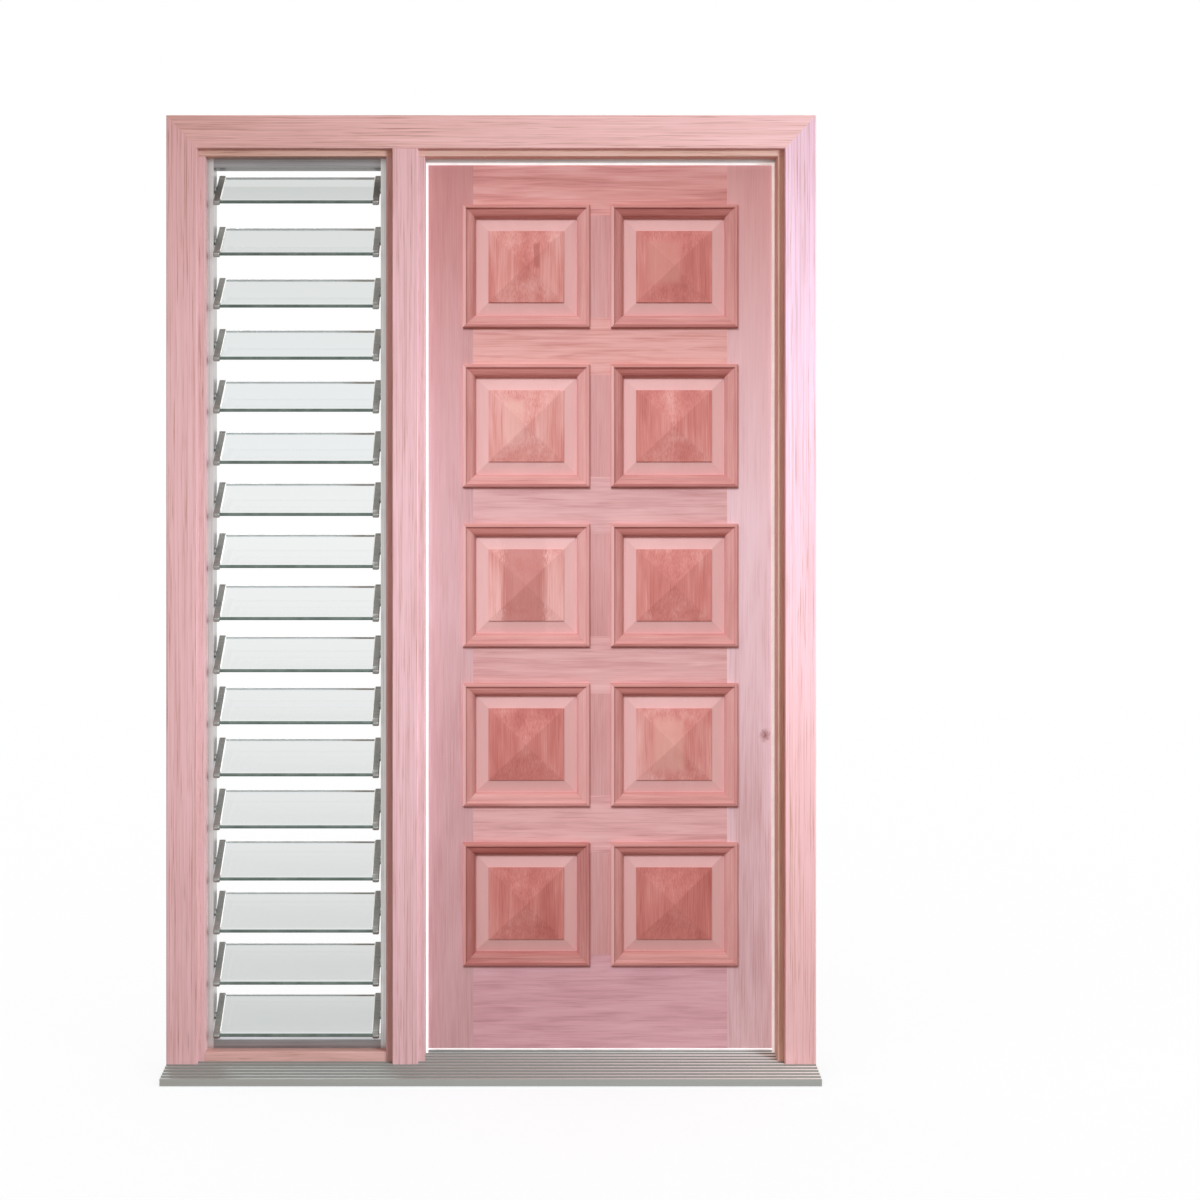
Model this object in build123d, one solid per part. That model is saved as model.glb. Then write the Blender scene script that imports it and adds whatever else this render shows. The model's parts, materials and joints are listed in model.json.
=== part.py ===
from build123d import *
import math
import os

# Timber entrance set: a ten-panel leaf beside a louvred sidelight, in one rebated frame on an aluminium sill.
# Millimetres. X runs to the right as seen from outside, Y into the building and Z up. The origin is on the
# underside of the sill, in the middle of the frame's width, in the plane of the wall's outer face.

# Leaf: overall size, framing members and the grooves that hold the panels
LEAF_WIDTH = 820
LEAF_HEIGHT = 2040
LEAF_THICKNESS = 40
STILE_WIDTH = 120
MUNTIN_WIDTH = 96
TOP_RAIL_HEIGHT = 138
CROSS_RAIL_HEIGHT = 131
BOTTOM_RAIL_HEIGHT = 213
PANEL_ROWS = 5
GROOVE_DEPTH = 10
GROOVE_WIDTH = 12
GROOVE_CLEARANCE = 0.3
LOCK_EDGE_BEVEL = 2

# Raised panel: a bevelled border, a small step and a four-sided pyramid, the same on both faces
PANEL_BORDER = 35
PANEL_EDGE_FLAT = 6
PANEL_BORDER_RISE = 8
PANEL_STEP = 4
PYRAMID_RISE = 15

# Panel moulding: laps over the framing and stands proud of it
MOULD_LAP = 24
MOULD_REACH = 5
MOULD_PROUD = 11
MOULD_ROUND = 3.5
MOULD_TOP_FLAT = 4
MOULD_QUIRK = 2
MOULD_COVE_WIDTH = 7.5
MOULD_COVE_DROP = 4
MOULD_FILLET = 1.5
MOULD_FILLET_DROP = 0.5
MOULD_OVER_EDGE = 1.5
MOULD_OVOLO_DROP = 13.5

# Frame timbers
JAMB_THICKNESS = 44
MULLION_WIDTH = 88
SIDELIGHT_WIDTH = 408
STOP_DEPTH = 45
REBATE = 18
ARRIS = 2.5
LEAF_GAP = 5.5
STOP_GAP = 5

# Cover moulds on the outer face
COVER_WIDTH = 70
HEAD_COVER_WIDTH = 75
COVER_THICKNESS = 16
COVER_MARGIN = 15

# Aluminium sill
SILL_HEIGHT = 31
NOSE_HEIGHT = 16
NOSE_PROJECTION = 75
SILL_WALL = 2.5
SILL_FOOT = 30
RIB_COUNT = 9
RIB_RISE = 2
RIB_CREST = 7
RIB_FLANK = 1.5

# Seals round the leaf
SEAL_CLEARANCE = 0.5
SEAL_SHOWING = 5
SEAL_LAP = 8
SEAL_END_GAP = 0.5
WEATHER_BAR_HEIGHT = 6
WEATHER_BAR_DEPTH = 9
BOTTOM_SEAL_HEIGHT = 4
BOTTOM_SEAL_DEPTH = 12
BOTTOM_SEAL_INSET = 1
SILL_CLEARANCE = 5.5

# Louvre gallery in the sidelight
RAIL_RISE = 16
CHANNEL_FRONT = 28
CHANNEL_DEPTH = 45
CHANNEL_THICKNESS = 14
CHANNEL_WALL = 2
HEAD_CHANNEL_HEIGHT = 20
SILL_CHANNEL_HEIGHT = 20
BLADE_COUNT = 17
BLADE_CHORD = 110
BLADE_TILT = 40
GLASS_THICKNESS = 6
GLASS_EDGE_ROUND = 2
BLADE_END_CLEARANCE = 8
CLIP_WIDTH = 14
CLIP_WALL = 1.6
CLIP_LIP = 1.5
CLIP_BACK = 2
GLASS_CLEARANCE = 0.2
PIVOT_RADIUS = 8
PIVOT_LENGTH = 3

# Butt hinges on the right-hand stile
HINGE_HEIGHT = 100
HINGE_WIDTH = 35
HINGE_PLATE = 2.5
HINGE_TOP_INSET = 180
HINGE_BOTTOM_INSET = 250
KNUCKLE_COUNT = 5
KNUCKLE_GAP = 0.4
PIN_RADIUS = 2.5
PIN_CLEARANCE = 0.05
PIN_CAP_HEIGHT = 3

# Places along X, from the left
door_light = LEAF_WIDTH + 2 * LEAF_GAP - 2 * REBATE
frame_width = 2 * JAMB_THICKNESS + SIDELIGHT_WIDTH + MULLION_WIDTH + door_light
frame_left = -frame_width / 2
frame_right = frame_width / 2
sidelight_left = frame_left + JAMB_THICKNESS
sidelight_right = sidelight_left + SIDELIGHT_WIDTH
light_left = sidelight_right + MULLION_WIDTH
light_right = light_left + door_light
rebate_left = light_left - REBATE
rebate_right = light_right + REBATE
leaf_left = rebate_left + LEAF_GAP
leaf_right = leaf_left + LEAF_WIDTH
cover_left = sidelight_left - COVER_MARGIN - COVER_WIDTH
cover_right = light_right + COVER_MARGIN + COVER_WIDTH

# Places along Y, from the outside
leaf_front = STOP_DEPTH + STOP_GAP
leaf_back = leaf_front + LEAF_THICKNESS
leaf_middle = (leaf_front + leaf_back) / 2
frame_depth = leaf_back
sill_front = -COVER_THICKNESS - NOSE_PROJECTION

# Places along Z, from the underside of the sill
leaf_bottom = SILL_HEIGHT + SILL_CLEARANCE + BOTTOM_SEAL_HEIGHT
leaf_top = leaf_bottom + LEAF_HEIGHT
head_rebate = leaf_top + LEAF_GAP
head_soffit = head_rebate - REBATE
head_top = head_soffit + JAMB_THICKNESS
cover_soffit = head_soffit + COVER_MARGIN
cover_top = cover_soffit + HEAD_COVER_WIDTH
rail_top = SILL_HEIGHT + RAIL_RISE

# Panel openings in the leaf
rail_length = LEAF_WIDTH - 2 * STILE_WIDTH
opening_width = (rail_length - MUNTIN_WIDTH) / 2
rails_height = TOP_RAIL_HEIGHT + BOTTOM_RAIL_HEIGHT + (PANEL_ROWS - 1) * CROSS_RAIL_HEIGHT
opening_height = (LEAF_HEIGHT - rails_height) / PANEL_ROWS
row_pitch = opening_height + CROSS_RAIL_HEIGHT
leaf_centre = (leaf_left + leaf_right) / 2
column_offset = (opening_width + MUNTIN_WIDTH) / 2

# Hinge pin
barrel_radius = LEAF_GAP / 2 + HINGE_PLATE
pin_x = leaf_right + LEAF_GAP / 2
pin_y = leaf_back + barrel_radius


def box(x_range, y_range, z_range):
    """Box between three pairs of limits."""
    sizes = [high - low for low, high in (x_range, y_range, z_range)]
    middle = [(low + high) / 2 for low, high in (x_range, y_range, z_range)]
    return Pos(*middle) * Box(*sizes)


def prism_x(points, x_range):
    """Prism along X over a polygon of (y, z) points."""
    wire = Wire.make_polygon([(x_range[0], y, z) for y, z in points])
    return Solid.extrude(Face(wire), Vector(x_range[1] - x_range[0], 0, 0))


def prism_y(points, y_range):
    """Prism along Y over a polygon of (x, z) points."""
    wire = Wire.make_polygon([(x, y_range[0], z) for x, z in points])
    return Solid.extrude(Face(wire), Vector(0, y_range[1] - y_range[0], 0))


def prism_z(points, z_range):
    """Prism along Z over a polygon of (x, y) points."""
    wire = Wire.make_polygon([(x, y, z_range[0]) for x, y in points])
    return Solid.extrude(Face(wire), Vector(0, 0, z_range[1] - z_range[0]))


def edges_at(solid, along, **places):
    """Edges parallel to an axis whose middle lies at the given x, y or z places."""
    found = solid.edges().filter_by(along)
    for name, place in places.items():
        axis_name = name.upper()
        found = [edge for edge in found if abs(getattr(edge.center(), axis_name) - place) < 0.01]
    return found


def sill_crest(y):
    """Height of the rib tops over the sloping part of the sill."""
    slope = (SILL_HEIGHT - NOSE_HEIGHT) / (STOP_DEPTH - sill_front)
    return NOSE_HEIGHT + slope * (y - sill_front)


def on_sill(solid):
    """Cut a frame timber's foot to the line of the sill's rib tops."""
    under = [
        (sill_front, 0),
        (frame_depth, 0),
        (frame_depth, SILL_HEIGHT),
        (STOP_DEPTH, SILL_HEIGHT),
        (sill_front, sill_crest(sill_front)),
    ]
    return solid - prism_x(under, (cover_left, cover_right))


def left_jamb():
    """Plain jamb beside the louvres."""
    jamb = box((frame_left, sidelight_left), (0, frame_depth), (0, head_soffit))
    jamb = fillet(edges_at(jamb, Axis.Z, x=sidelight_left, y=0), ARRIS)
    return on_sill(jamb)


def right_jamb():
    """Rebated jamb on the hinge side, with the hinge plates let in."""
    outline = [
        (light_right, 0),
        (frame_right, 0),
        (frame_right, frame_depth),
        (rebate_right, frame_depth),
        (rebate_right, STOP_DEPTH),
        (light_right, STOP_DEPTH),
    ]
    jamb = prism_z(outline, (0, head_soffit))
    jamb = fillet(edges_at(jamb, Axis.Z, x=light_right, y=0), ARRIS)
    for low in hinge_feet():
        jamb -= box(
            (rebate_right, rebate_right + HINGE_PLATE),
            (pin_y - HINGE_WIDTH, frame_depth),
            (low, low + HINGE_HEIGHT),
        )
    return on_sill(jamb)


def mullion():
    """Post between louvres and leaf, rebated for the leaf's lock edge."""
    outline = [
        (sidelight_right, 0),
        (light_left, 0),
        (light_left, STOP_DEPTH),
        (rebate_left, STOP_DEPTH),
        (rebate_left, frame_depth),
        (sidelight_right, frame_depth),
    ]
    post = prism_z(outline, (0, head_soffit))
    post = fillet(edges_at(post, Axis.Z, y=0), ARRIS)
    return on_sill(post)


def head():
    """Head across the jambs, rebated over the leaf only."""
    beam = box((frame_left, frame_right), (0, frame_depth), (head_soffit, head_top))
    beam = fillet(edges_at(beam, Axis.X, y=0, z=head_soffit), ARRIS)
    return beam - box((rebate_left, rebate_right), (STOP_DEPTH, frame_depth), (head_soffit, head_rebate))


def sidelight_rail():
    """Low timber rail under the louvres."""
    rail = box((sidelight_left, sidelight_right), (0, frame_depth), (0, rail_top))
    rail = fillet(edges_at(rail, Axis.X, y=0, z=rail_top), ARRIS)
    return on_sill(rail)


def side_cover(outer, inner):
    """Upright cover mould with its top cut to the mitre."""
    low, high = min(outer, inner), max(outer, inner)
    cover = box((low, high), (-COVER_THICKNESS, 0), (0, cover_top))
    cover = fillet(edges_at(cover, Axis.Z, y=-COVER_THICKNESS), ARRIS)
    above_mitre = [(outer, cover_top), (inner, cover_top), (inner, cover_soffit)]
    return on_sill(cover - prism_y(above_mitre, (-COVER_THICKNESS, 0)))


def head_cover():
    """Cover mould over the head, mitred at both ends."""
    cover = box((cover_left, cover_right), (-COVER_THICKNESS, 0), (cover_soffit, cover_top))
    cover = fillet(edges_at(cover, Axis.X, y=-COVER_THICKNESS), ARRIS)
    for outer, inner in ((cover_left, cover_left + COVER_WIDTH), (cover_right, cover_right - COVER_WIDTH)):
        below_mitre = [(outer, cover_top), (outer, cover_soffit), (inner, cover_soffit)]
        cover -= prism_y(below_mitre, (-COVER_THICKNESS, 0))
    return cover


def mullion_cover():
    """Cover mould on the mullion, square under the head cover."""
    sides = (sidelight_right + COVER_MARGIN, light_left - COVER_MARGIN)
    cover = box(sides, (-COVER_THICKNESS, 0), (0, cover_soffit))
    cover = fillet(edges_at(cover, Axis.Z, y=-COVER_THICKNESS), ARRIS)
    return on_sill(cover)


def sill_ribs():
    """Points along the ribbed top, from the nose to the flat under the leaf."""
    pitch = (STOP_DEPTH - sill_front) / RIB_COUNT
    points = []
    for index in range(RIB_COUNT):
        crest = sill_front + index * pitch
        points.append((crest, sill_crest(crest)))
        points.append((crest + RIB_CREST, sill_crest(crest + RIB_CREST)))
        valley = crest + RIB_CREST + RIB_FLANK
        points.append((valley, sill_crest(valley) - RIB_RISE))
        valley = crest + pitch - RIB_FLANK
        points.append((valley, sill_crest(valley) - RIB_RISE))
    return points


def aluminium_sill():
    """Extruded sill: ribbed slope, drip nose, and webs that stand on flat feet."""
    depth = RIB_RISE + SILL_WALL
    plate = sill_ribs()
    plate += [(STOP_DEPTH, SILL_HEIGHT), (frame_depth, SILL_HEIGHT)]
    plate += [(frame_depth, SILL_HEIGHT - depth), (STOP_DEPTH, SILL_HEIGHT - depth)]
    plate += [(sill_front, sill_crest(sill_front) - depth)]
    length = (cover_left, cover_right)
    sill = prism_x(plate, length)
    sill += box(length, (sill_front, sill_front + SILL_WALL), (0, NOSE_HEIGHT - RIB_RISE))
    sill += box(length, (sill_front, sill_front + SILL_FOOT / 2), (0, SILL_WALL))
    for middle in (0, STOP_DEPTH):
        top = sill_crest(middle) - RIB_RISE - SILL_WALL / 2
        sill += box(length, (middle - SILL_WALL / 2, middle + SILL_WALL / 2), (0, top))
        sill += box(length, (middle - SILL_FOOT / 2, middle + SILL_FOOT / 2), (0, SILL_WALL))
    sill += box(length, (frame_depth - SILL_WALL, frame_depth), (0, SILL_HEIGHT - RIB_RISE))
    sill += box(length, (frame_depth - SILL_FOOT / 2, frame_depth), (0, SILL_WALL))
    for beyond in ((cover_left, frame_left), (frame_right, cover_right)):
        sill -= box(beyond, (SILL_WALL / 2, frame_depth), (0, SILL_HEIGHT))
    return sill


def door_seals():
    """Three seal strips on the back of the stops, showing as a line round the leaf."""
    y_range = (STOP_DEPTH, leaf_front - SEAL_CLEARANCE)
    head_low = head_soffit - WEATHER_BAR_HEIGHT - SEAL_SHOWING
    side_range = (SILL_HEIGHT, head_low - SEAL_END_GAP)
    left = box((light_left - SEAL_LAP, light_left + SEAL_SHOWING), y_range, side_range)
    right = box((light_right - SEAL_SHOWING, light_right + SEAL_LAP), y_range, side_range)
    top = box((light_left, light_right), y_range, (head_low, head_soffit + SEAL_LAP))
    return [left, right, top]


def head_weather_bar():
    """Aluminium strip under the head, in front of the seal."""
    y_range = (STOP_DEPTH - WEATHER_BAR_DEPTH, STOP_DEPTH)
    return box((light_left, light_right), y_range, (head_soffit - WEATHER_BAR_HEIGHT, head_soffit))


def side_channel(face, inward):
    """Upright louvre channel, open towards the timber face that it is fixed to."""
    web = face + inward * CHANNEL_THICKNESS
    back = web - inward * CHANNEL_WALL
    y_range = (CHANNEL_FRONT, CHANNEL_FRONT + CHANNEL_DEPTH)
    z_range = (rail_top, head_soffit)
    channel = box((min(face, web), max(face, web)), y_range, z_range)
    inside = (CHANNEL_FRONT + CHANNEL_WALL, CHANNEL_FRONT + CHANNEL_DEPTH - CHANNEL_WALL)
    return channel - box((min(face, back), max(face, back)), inside, z_range)


def cross_channel(face, web):
    """Level louvre channel between the upright ones, open towards the timber face that it is fixed to."""
    x_range = (sidelight_left + CHANNEL_THICKNESS, sidelight_right - CHANNEL_THICKNESS)
    y_range = (CHANNEL_FRONT, CHANNEL_FRONT + CHANNEL_DEPTH)
    back = web + math.copysign(CHANNEL_WALL, face - web)
    channel = box(x_range, y_range, (min(face, web), max(face, web)))
    inside = (CHANNEL_FRONT + CHANNEL_WALL, CHANNEL_FRONT + CHANNEL_DEPTH - CHANNEL_WALL)
    return channel - box(x_range, inside, (min(face, back), max(face, back)))


def blade_places():
    """Location of each louvre blade: its middle, tilted so that the outer edge is low."""
    tilt = math.radians(BLADE_TILT)
    half_height = (BLADE_CHORD / 2 + CLIP_LIP) * math.sin(tilt)
    half_height += (GLASS_THICKNESS / 2 + CLIP_WALL) * math.cos(tilt)
    low = rail_top + SILL_CHANNEL_HEIGHT + half_height + BLADE_END_CLEARANCE
    high = head_soffit - HEAD_CHANNEL_HEIGHT - half_height - BLADE_END_CLEARANCE
    pitch = (high - low) / (BLADE_COUNT - 1)
    middle_x = (sidelight_left + sidelight_right) / 2
    middle_y = CHANNEL_FRONT + CHANNEL_DEPTH / 2
    return [Pos(middle_x, middle_y, low + i * pitch) * Rot(BLADE_TILT, 0, 0) for i in range(BLADE_COUNT)]


clip_outer = SIDELIGHT_WIDTH / 2 - CHANNEL_THICKNESS - PIVOT_LENGTH
glass_end = clip_outer - CLIP_BACK - GLASS_CLEARANCE


def louvre_blade():
    """One glass blade with its long edges ground round, level about the origin."""
    blade = Box(2 * glass_end, BLADE_CHORD, GLASS_THICKNESS)
    return fillet(blade.edges().filter_by(Axis.X), GLASS_EDGE_ROUND)


def louvre_clip(side):
    """Holder round one end of a blade, with the round pivot that bears on the channel."""
    thickness = GLASS_THICKNESS + 2 * (CLIP_WALL + GLASS_CLEARANCE)
    chord = BLADE_CHORD + 2 * (CLIP_LIP + GLASS_CLEARANCE)
    clip = Pos(side * (clip_outer - CLIP_WIDTH / 2), 0, 0) * Box(CLIP_WIDTH, chord, thickness)
    slot_length = CLIP_WIDTH - CLIP_BACK
    slot = Box(slot_length, BLADE_CHORD + 2 * GLASS_CLEARANCE, GLASS_THICKNESS + 2 * GLASS_CLEARANCE)
    clip -= Pos(side * (clip_outer - CLIP_BACK - slot_length / 2), 0, 0) * slot
    pivot = Rot(0, 90, 0) * Cylinder(PIVOT_RADIUS, PIVOT_LENGTH)
    return clip + Pos(side * (clip_outer + PIVOT_LENGTH / 2), 0, 0) * pivot


def row_bottom(row):
    """Height of a panel opening's lower edge, with row 0 at the top."""
    return leaf_bottom + BOTTOM_RAIL_HEIGHT + (PANEL_ROWS - 1 - row) * row_pitch


def groove(x_range, z_range):
    """Cutter for a panel groove in the middle of the leaf's thickness."""
    half = GROOVE_WIDTH / 2
    return box(x_range, (leaf_middle - half, leaf_middle + half), z_range)


def tongue(x_range, z_range):
    """Tongue that fills a panel groove, less its clearance."""
    half = GROOVE_WIDTH / 2 - GROOVE_CLEARANCE
    return box(x_range, (leaf_middle - half, leaf_middle + half), z_range)


def lock_stile():
    """Stile at the free edge, bevelled so that its outer corner clears the rebate."""
    inner = leaf_left + STILE_WIDTH
    outline = [
        (leaf_left + LOCK_EDGE_BEVEL, leaf_front),
        (inner, leaf_front),
        (inner, leaf_back),
        (leaf_left, leaf_back),
    ]
    height = (leaf_bottom, leaf_top)
    return prism_z(outline, height) - groove((inner - GROOVE_DEPTH, inner), height)


def hinge_stile():
    """Stile at the hinge edge, with the hinge plates let in."""
    inner = leaf_right - STILE_WIDTH
    height = (leaf_bottom, leaf_top)
    stile = box((inner, leaf_right), (leaf_front, leaf_back), height)
    stile -= groove((inner, inner + GROOVE_DEPTH), height)
    for low in hinge_feet():
        stile -= box(
            (leaf_right - HINGE_PLATE, leaf_right),
            (pin_y - HINGE_WIDTH, leaf_back),
            (low, low + HINGE_HEIGHT),
        )
    return stile


def rail(low, high, grooved_below, grooved_above):
    """Rail between the stiles, tongued at both ends and grooved where it meets panels."""
    x_range = (leaf_left + STILE_WIDTH, leaf_right - STILE_WIDTH)
    reach = GROOVE_DEPTH - GROOVE_CLEARANCE
    full = (x_range[0] - reach, x_range[1] + reach)
    bar = box(x_range, (leaf_front, leaf_back), (low, high)) + tongue(full, (low, high))
    if grooved_below:
        bar -= groove(full, (low, low + GROOVE_DEPTH))
    if grooved_above:
        bar -= groove(full, (high - GROOVE_DEPTH, high))
    return bar


def rails():
    """All rails by name, from the top rail to the bottom rail."""
    named = {"top_rail": rail(leaf_top - TOP_RAIL_HEIGHT, leaf_top, True, False)}
    for row in range(PANEL_ROWS - 1):
        high = row_bottom(row)
        named[f"cross_rail_{row + 1}"] = rail(high - CROSS_RAIL_HEIGHT, high, True, True)
    named["bottom_rail"] = rail(leaf_bottom, leaf_bottom + BOTTOM_RAIL_HEIGHT, False, True)
    return named


def muntin(row):
    """Short upright between the two panels of a row, tongued into the rails."""
    low = row_bottom(row)
    high = low + opening_height
    x_range = (leaf_centre - MUNTIN_WIDTH / 2, leaf_centre + MUNTIN_WIDTH / 2)
    reach = GROOVE_DEPTH - GROOVE_CLEARANCE
    full = (low - reach, high + reach)
    bar = box(x_range, (leaf_front, leaf_back), (low, high)) + tongue(x_range, full)
    bar -= groove((x_range[0], x_range[0] + GROOVE_DEPTH), full)
    return bar - groove((x_range[1] - GROOVE_DEPTH, x_range[1]), full)


def panel_place(row, column):
    """Middle of one panel opening."""
    x = leaf_centre + column_offset * (2 * column - 1)
    return Pos(x, leaf_middle, row_bottom(row) + opening_height / 2)


def panel_half():
    """Front half of a raised panel about the origin: border, step and pyramid."""
    edge = GROOVE_WIDTH / 2 - GROOVE_CLEARANCE
    border = edge + PANEL_BORDER_RISE
    raised = border + PANEL_STEP
    flat = Rectangle(opening_width - 2 * PANEL_EDGE_FLAT, opening_height - 2 * PANEL_EDGE_FLAT)
    field = Rectangle(opening_width - 2 * PANEL_BORDER, opening_height - 2 * PANEL_BORDER)
    slope = loft([Plane.XZ.offset(edge) * flat, Plane.XZ.offset(border) * field], ruled=True)
    step = extrude(Plane.XZ.offset(border) * field, PANEL_STEP)
    base = (Plane.XZ.offset(raised) * field).face()
    pyramid = Solid.make_loft([base.outer_wire(), Vertex(0, -raised - PYRAMID_RISE, 0)], ruled=True)
    return slope + step + pyramid


def raised_panel():
    """Raised panel about the origin, with the edge that sits in the grooves."""
    reach = 2 * (GROOVE_DEPTH - GROOVE_CLEARANCE)
    edge = GROOVE_WIDTH - 2 * GROOVE_CLEARANCE
    half = panel_half()
    return Box(opening_width + reach, edge, opening_height + reach) + half + mirror(half, about=Plane.XZ)


def mould_section(distance):
    """Section of the panel moulding in the YZ plane, over an opening edge that far below the origin."""
    face = LEAF_THICKNESS / 2

    def at(outward, proud):
        return (0, -face - proud, -distance - outward)

    bead = MOULD_LAP - MOULD_ROUND
    quirk = bead - MOULD_TOP_FLAT
    cove_top = MOULD_PROUD - MOULD_QUIRK
    cove_end = quirk - MOULD_COVE_WIDTH
    cove_foot = cove_top - MOULD_COVE_DROP
    ovolo_end = cove_end - MOULD_FILLET
    ovolo_top = cove_foot - MOULD_FILLET_DROP
    foot = ovolo_top - MOULD_OVOLO_DROP
    rest = GROOVE_WIDTH / 2 - GROOVE_CLEARANCE - face
    turn = math.sqrt(0.5)
    corner = at(bead + MOULD_ROUND * turn, MOULD_PROUD - MOULD_ROUND * (1 - turn))
    hollow = at(quirk - MOULD_COVE_WIDTH * (1 - turn), cove_top - MOULD_COVE_DROP * turn)
    swell = at(0, MOULD_OVER_EDGE)
    lines = [
        Line(at(MOULD_LAP, 0), at(MOULD_LAP, MOULD_PROUD - MOULD_ROUND)),
        ThreePointArc(at(MOULD_LAP, MOULD_PROUD - MOULD_ROUND), corner, at(bead, MOULD_PROUD)),
        Line(at(bead, MOULD_PROUD), at(quirk, MOULD_PROUD)),
        Line(at(quirk, MOULD_PROUD), at(quirk, cove_top)),
        ThreePointArc(at(quirk, cove_top), hollow, at(cove_end, cove_foot)),
        Line(at(cove_end, cove_foot), at(ovolo_end, cove_foot)),
        Line(at(ovolo_end, cove_foot), at(ovolo_end, ovolo_top)),
        ThreePointArc(at(ovolo_end, ovolo_top), swell, at(-MOULD_REACH, foot)),
        Line(at(-MOULD_REACH, foot), at(-MOULD_REACH, rest)),
        Line(at(-MOULD_REACH, rest), at(0, rest)),
        Line(at(0, rest), at(0, 0)),
        Line(at(0, 0), at(MOULD_LAP, 0)),
    ]
    return Face(Wire(lines))


def mould_stick(half_length, distance):
    """Length of moulding along X below the origin, mitred to the opening's corners."""
    reach = half_length + MOULD_LAP
    stick = Solid.extrude(Pos(-reach, 0, 0) * mould_section(distance), Vector(2 * reach, 0, 0))
    mitred = [
        (-half_length - MOULD_LAP, -distance - MOULD_LAP),
        (half_length + MOULD_LAP, -distance - MOULD_LAP),
        (half_length - MOULD_REACH, -distance + MOULD_REACH),
        (-half_length + MOULD_REACH, -distance + MOULD_REACH),
    ]
    return stick & prism_y(mitred, (-LEAF_THICKNESS / 2 - MOULD_PROUD, 0))


def panel_moulding():
    """Mitred moulding round one panel on the front face, about the origin."""
    level = mould_stick(opening_width / 2, opening_height / 2)
    upright = mould_stick(opening_height / 2, opening_width / 2)
    return level + Rot(0, 90, 0) * upright + Rot(0, 180, 0) * level + Rot(0, 270, 0) * upright


def bottom_seal():
    """Pale seal under the leaf."""
    front = leaf_front + BOTTOM_SEAL_INSET
    x_range = (leaf_left + LOCK_EDGE_BEVEL, leaf_right)
    return box(x_range, (front, front + BOTTOM_SEAL_DEPTH), (leaf_bottom - BOTTOM_SEAL_HEIGHT, leaf_bottom))


def hinge_feet():
    """Lower edge of each hinge, from the bottom hinge to the top one."""
    low = leaf_bottom + HINGE_BOTTOM_INSET
    high = leaf_top - HINGE_TOP_INSET - HINGE_HEIGHT
    return [low, (low + high) / 2, high]


def knuckle(low, index, radius, gap):
    """One knuckle of a hinge barrel, shortened or lengthened by a gap at both ends."""
    height = HINGE_HEIGHT / KNUCKLE_COUNT
    middle = low + (index + 0.5) * height
    return Pos(pin_x, pin_y, middle) * Cylinder(radius, height - 2 * gap)


def hinge_plate(low, x_range, first_knuckle):
    """Half of a butt hinge: a plate with every second knuckle of the barrel."""
    half = box(x_range, (pin_y - HINGE_WIDTH, pin_y), (low, low + HINGE_HEIGHT))
    for index in range(KNUCKLE_COUNT):
        if index % 2 == first_knuckle:
            half += knuckle(low, index, barrel_radius, KNUCKLE_GAP / 2)
        else:
            half -= knuckle(low, index, barrel_radius + KNUCKLE_GAP, -KNUCKLE_GAP / 2)
    bore = Cylinder(PIN_RADIUS + PIN_CLEARANCE, HINGE_HEIGHT)
    return half - Pos(pin_x, pin_y, low + HINGE_HEIGHT / 2) * bore


def hinge_pin(low):
    """Loose pin with a cap at each end of the barrel."""
    middle = Pos(pin_x, pin_y, low + HINGE_HEIGHT / 2)
    pin = middle * Cylinder(PIN_RADIUS, HINGE_HEIGHT)
    offset = (HINGE_HEIGHT + PIN_CAP_HEIGHT) / 2
    cap = Cylinder(barrel_radius, PIN_CAP_HEIGHT)
    return pin + middle * Pos(0, 0, offset) * cap + middle * Pos(0, 0, -offset) * cap


def frame_nodes():
    """Every node of the fixed frame."""
    places = blade_places()
    channel_webs = (rail_top + SILL_CHANNEL_HEIGHT, head_soffit - HEAD_CHANNEL_HEIGHT)
    return {
        "left_jamb": left_jamb(),
        "right_jamb": right_jamb(),
        "mullion": mullion(),
        "head": head(),
        "sidelight_rail": sidelight_rail(),
        "left_cover": side_cover(cover_left, cover_left + COVER_WIDTH),
        "right_cover": side_cover(cover_right, cover_right - COVER_WIDTH),
        "head_cover": head_cover(),
        "mullion_cover": mullion_cover(),
        "aluminium_sill": aluminium_sill(),
        "door_seals": door_seals(),
        "head_weather_bar": head_weather_bar(),
        "louvre_left_channel": side_channel(sidelight_left, 1),
        "louvre_right_channel": side_channel(sidelight_right, -1),
        "louvre_sill_channel": cross_channel(rail_top, channel_webs[0]),
        "louvre_head_channel": cross_channel(head_soffit, channel_webs[1]),
        "louvre_blades": [place * louvre_blade() for place in places],
        "louvre_left_clips": [place * louvre_clip(-1) for place in places],
        "louvre_right_clips": [place * louvre_clip(1) for place in places],
        "hinge_frame_plates": [
            hinge_plate(low, (rebate_right, rebate_right + HINGE_PLATE), 0) for low in hinge_feet()
        ],
        "hinge_pins": [hinge_pin(low) for low in hinge_feet()],
    }


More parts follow.
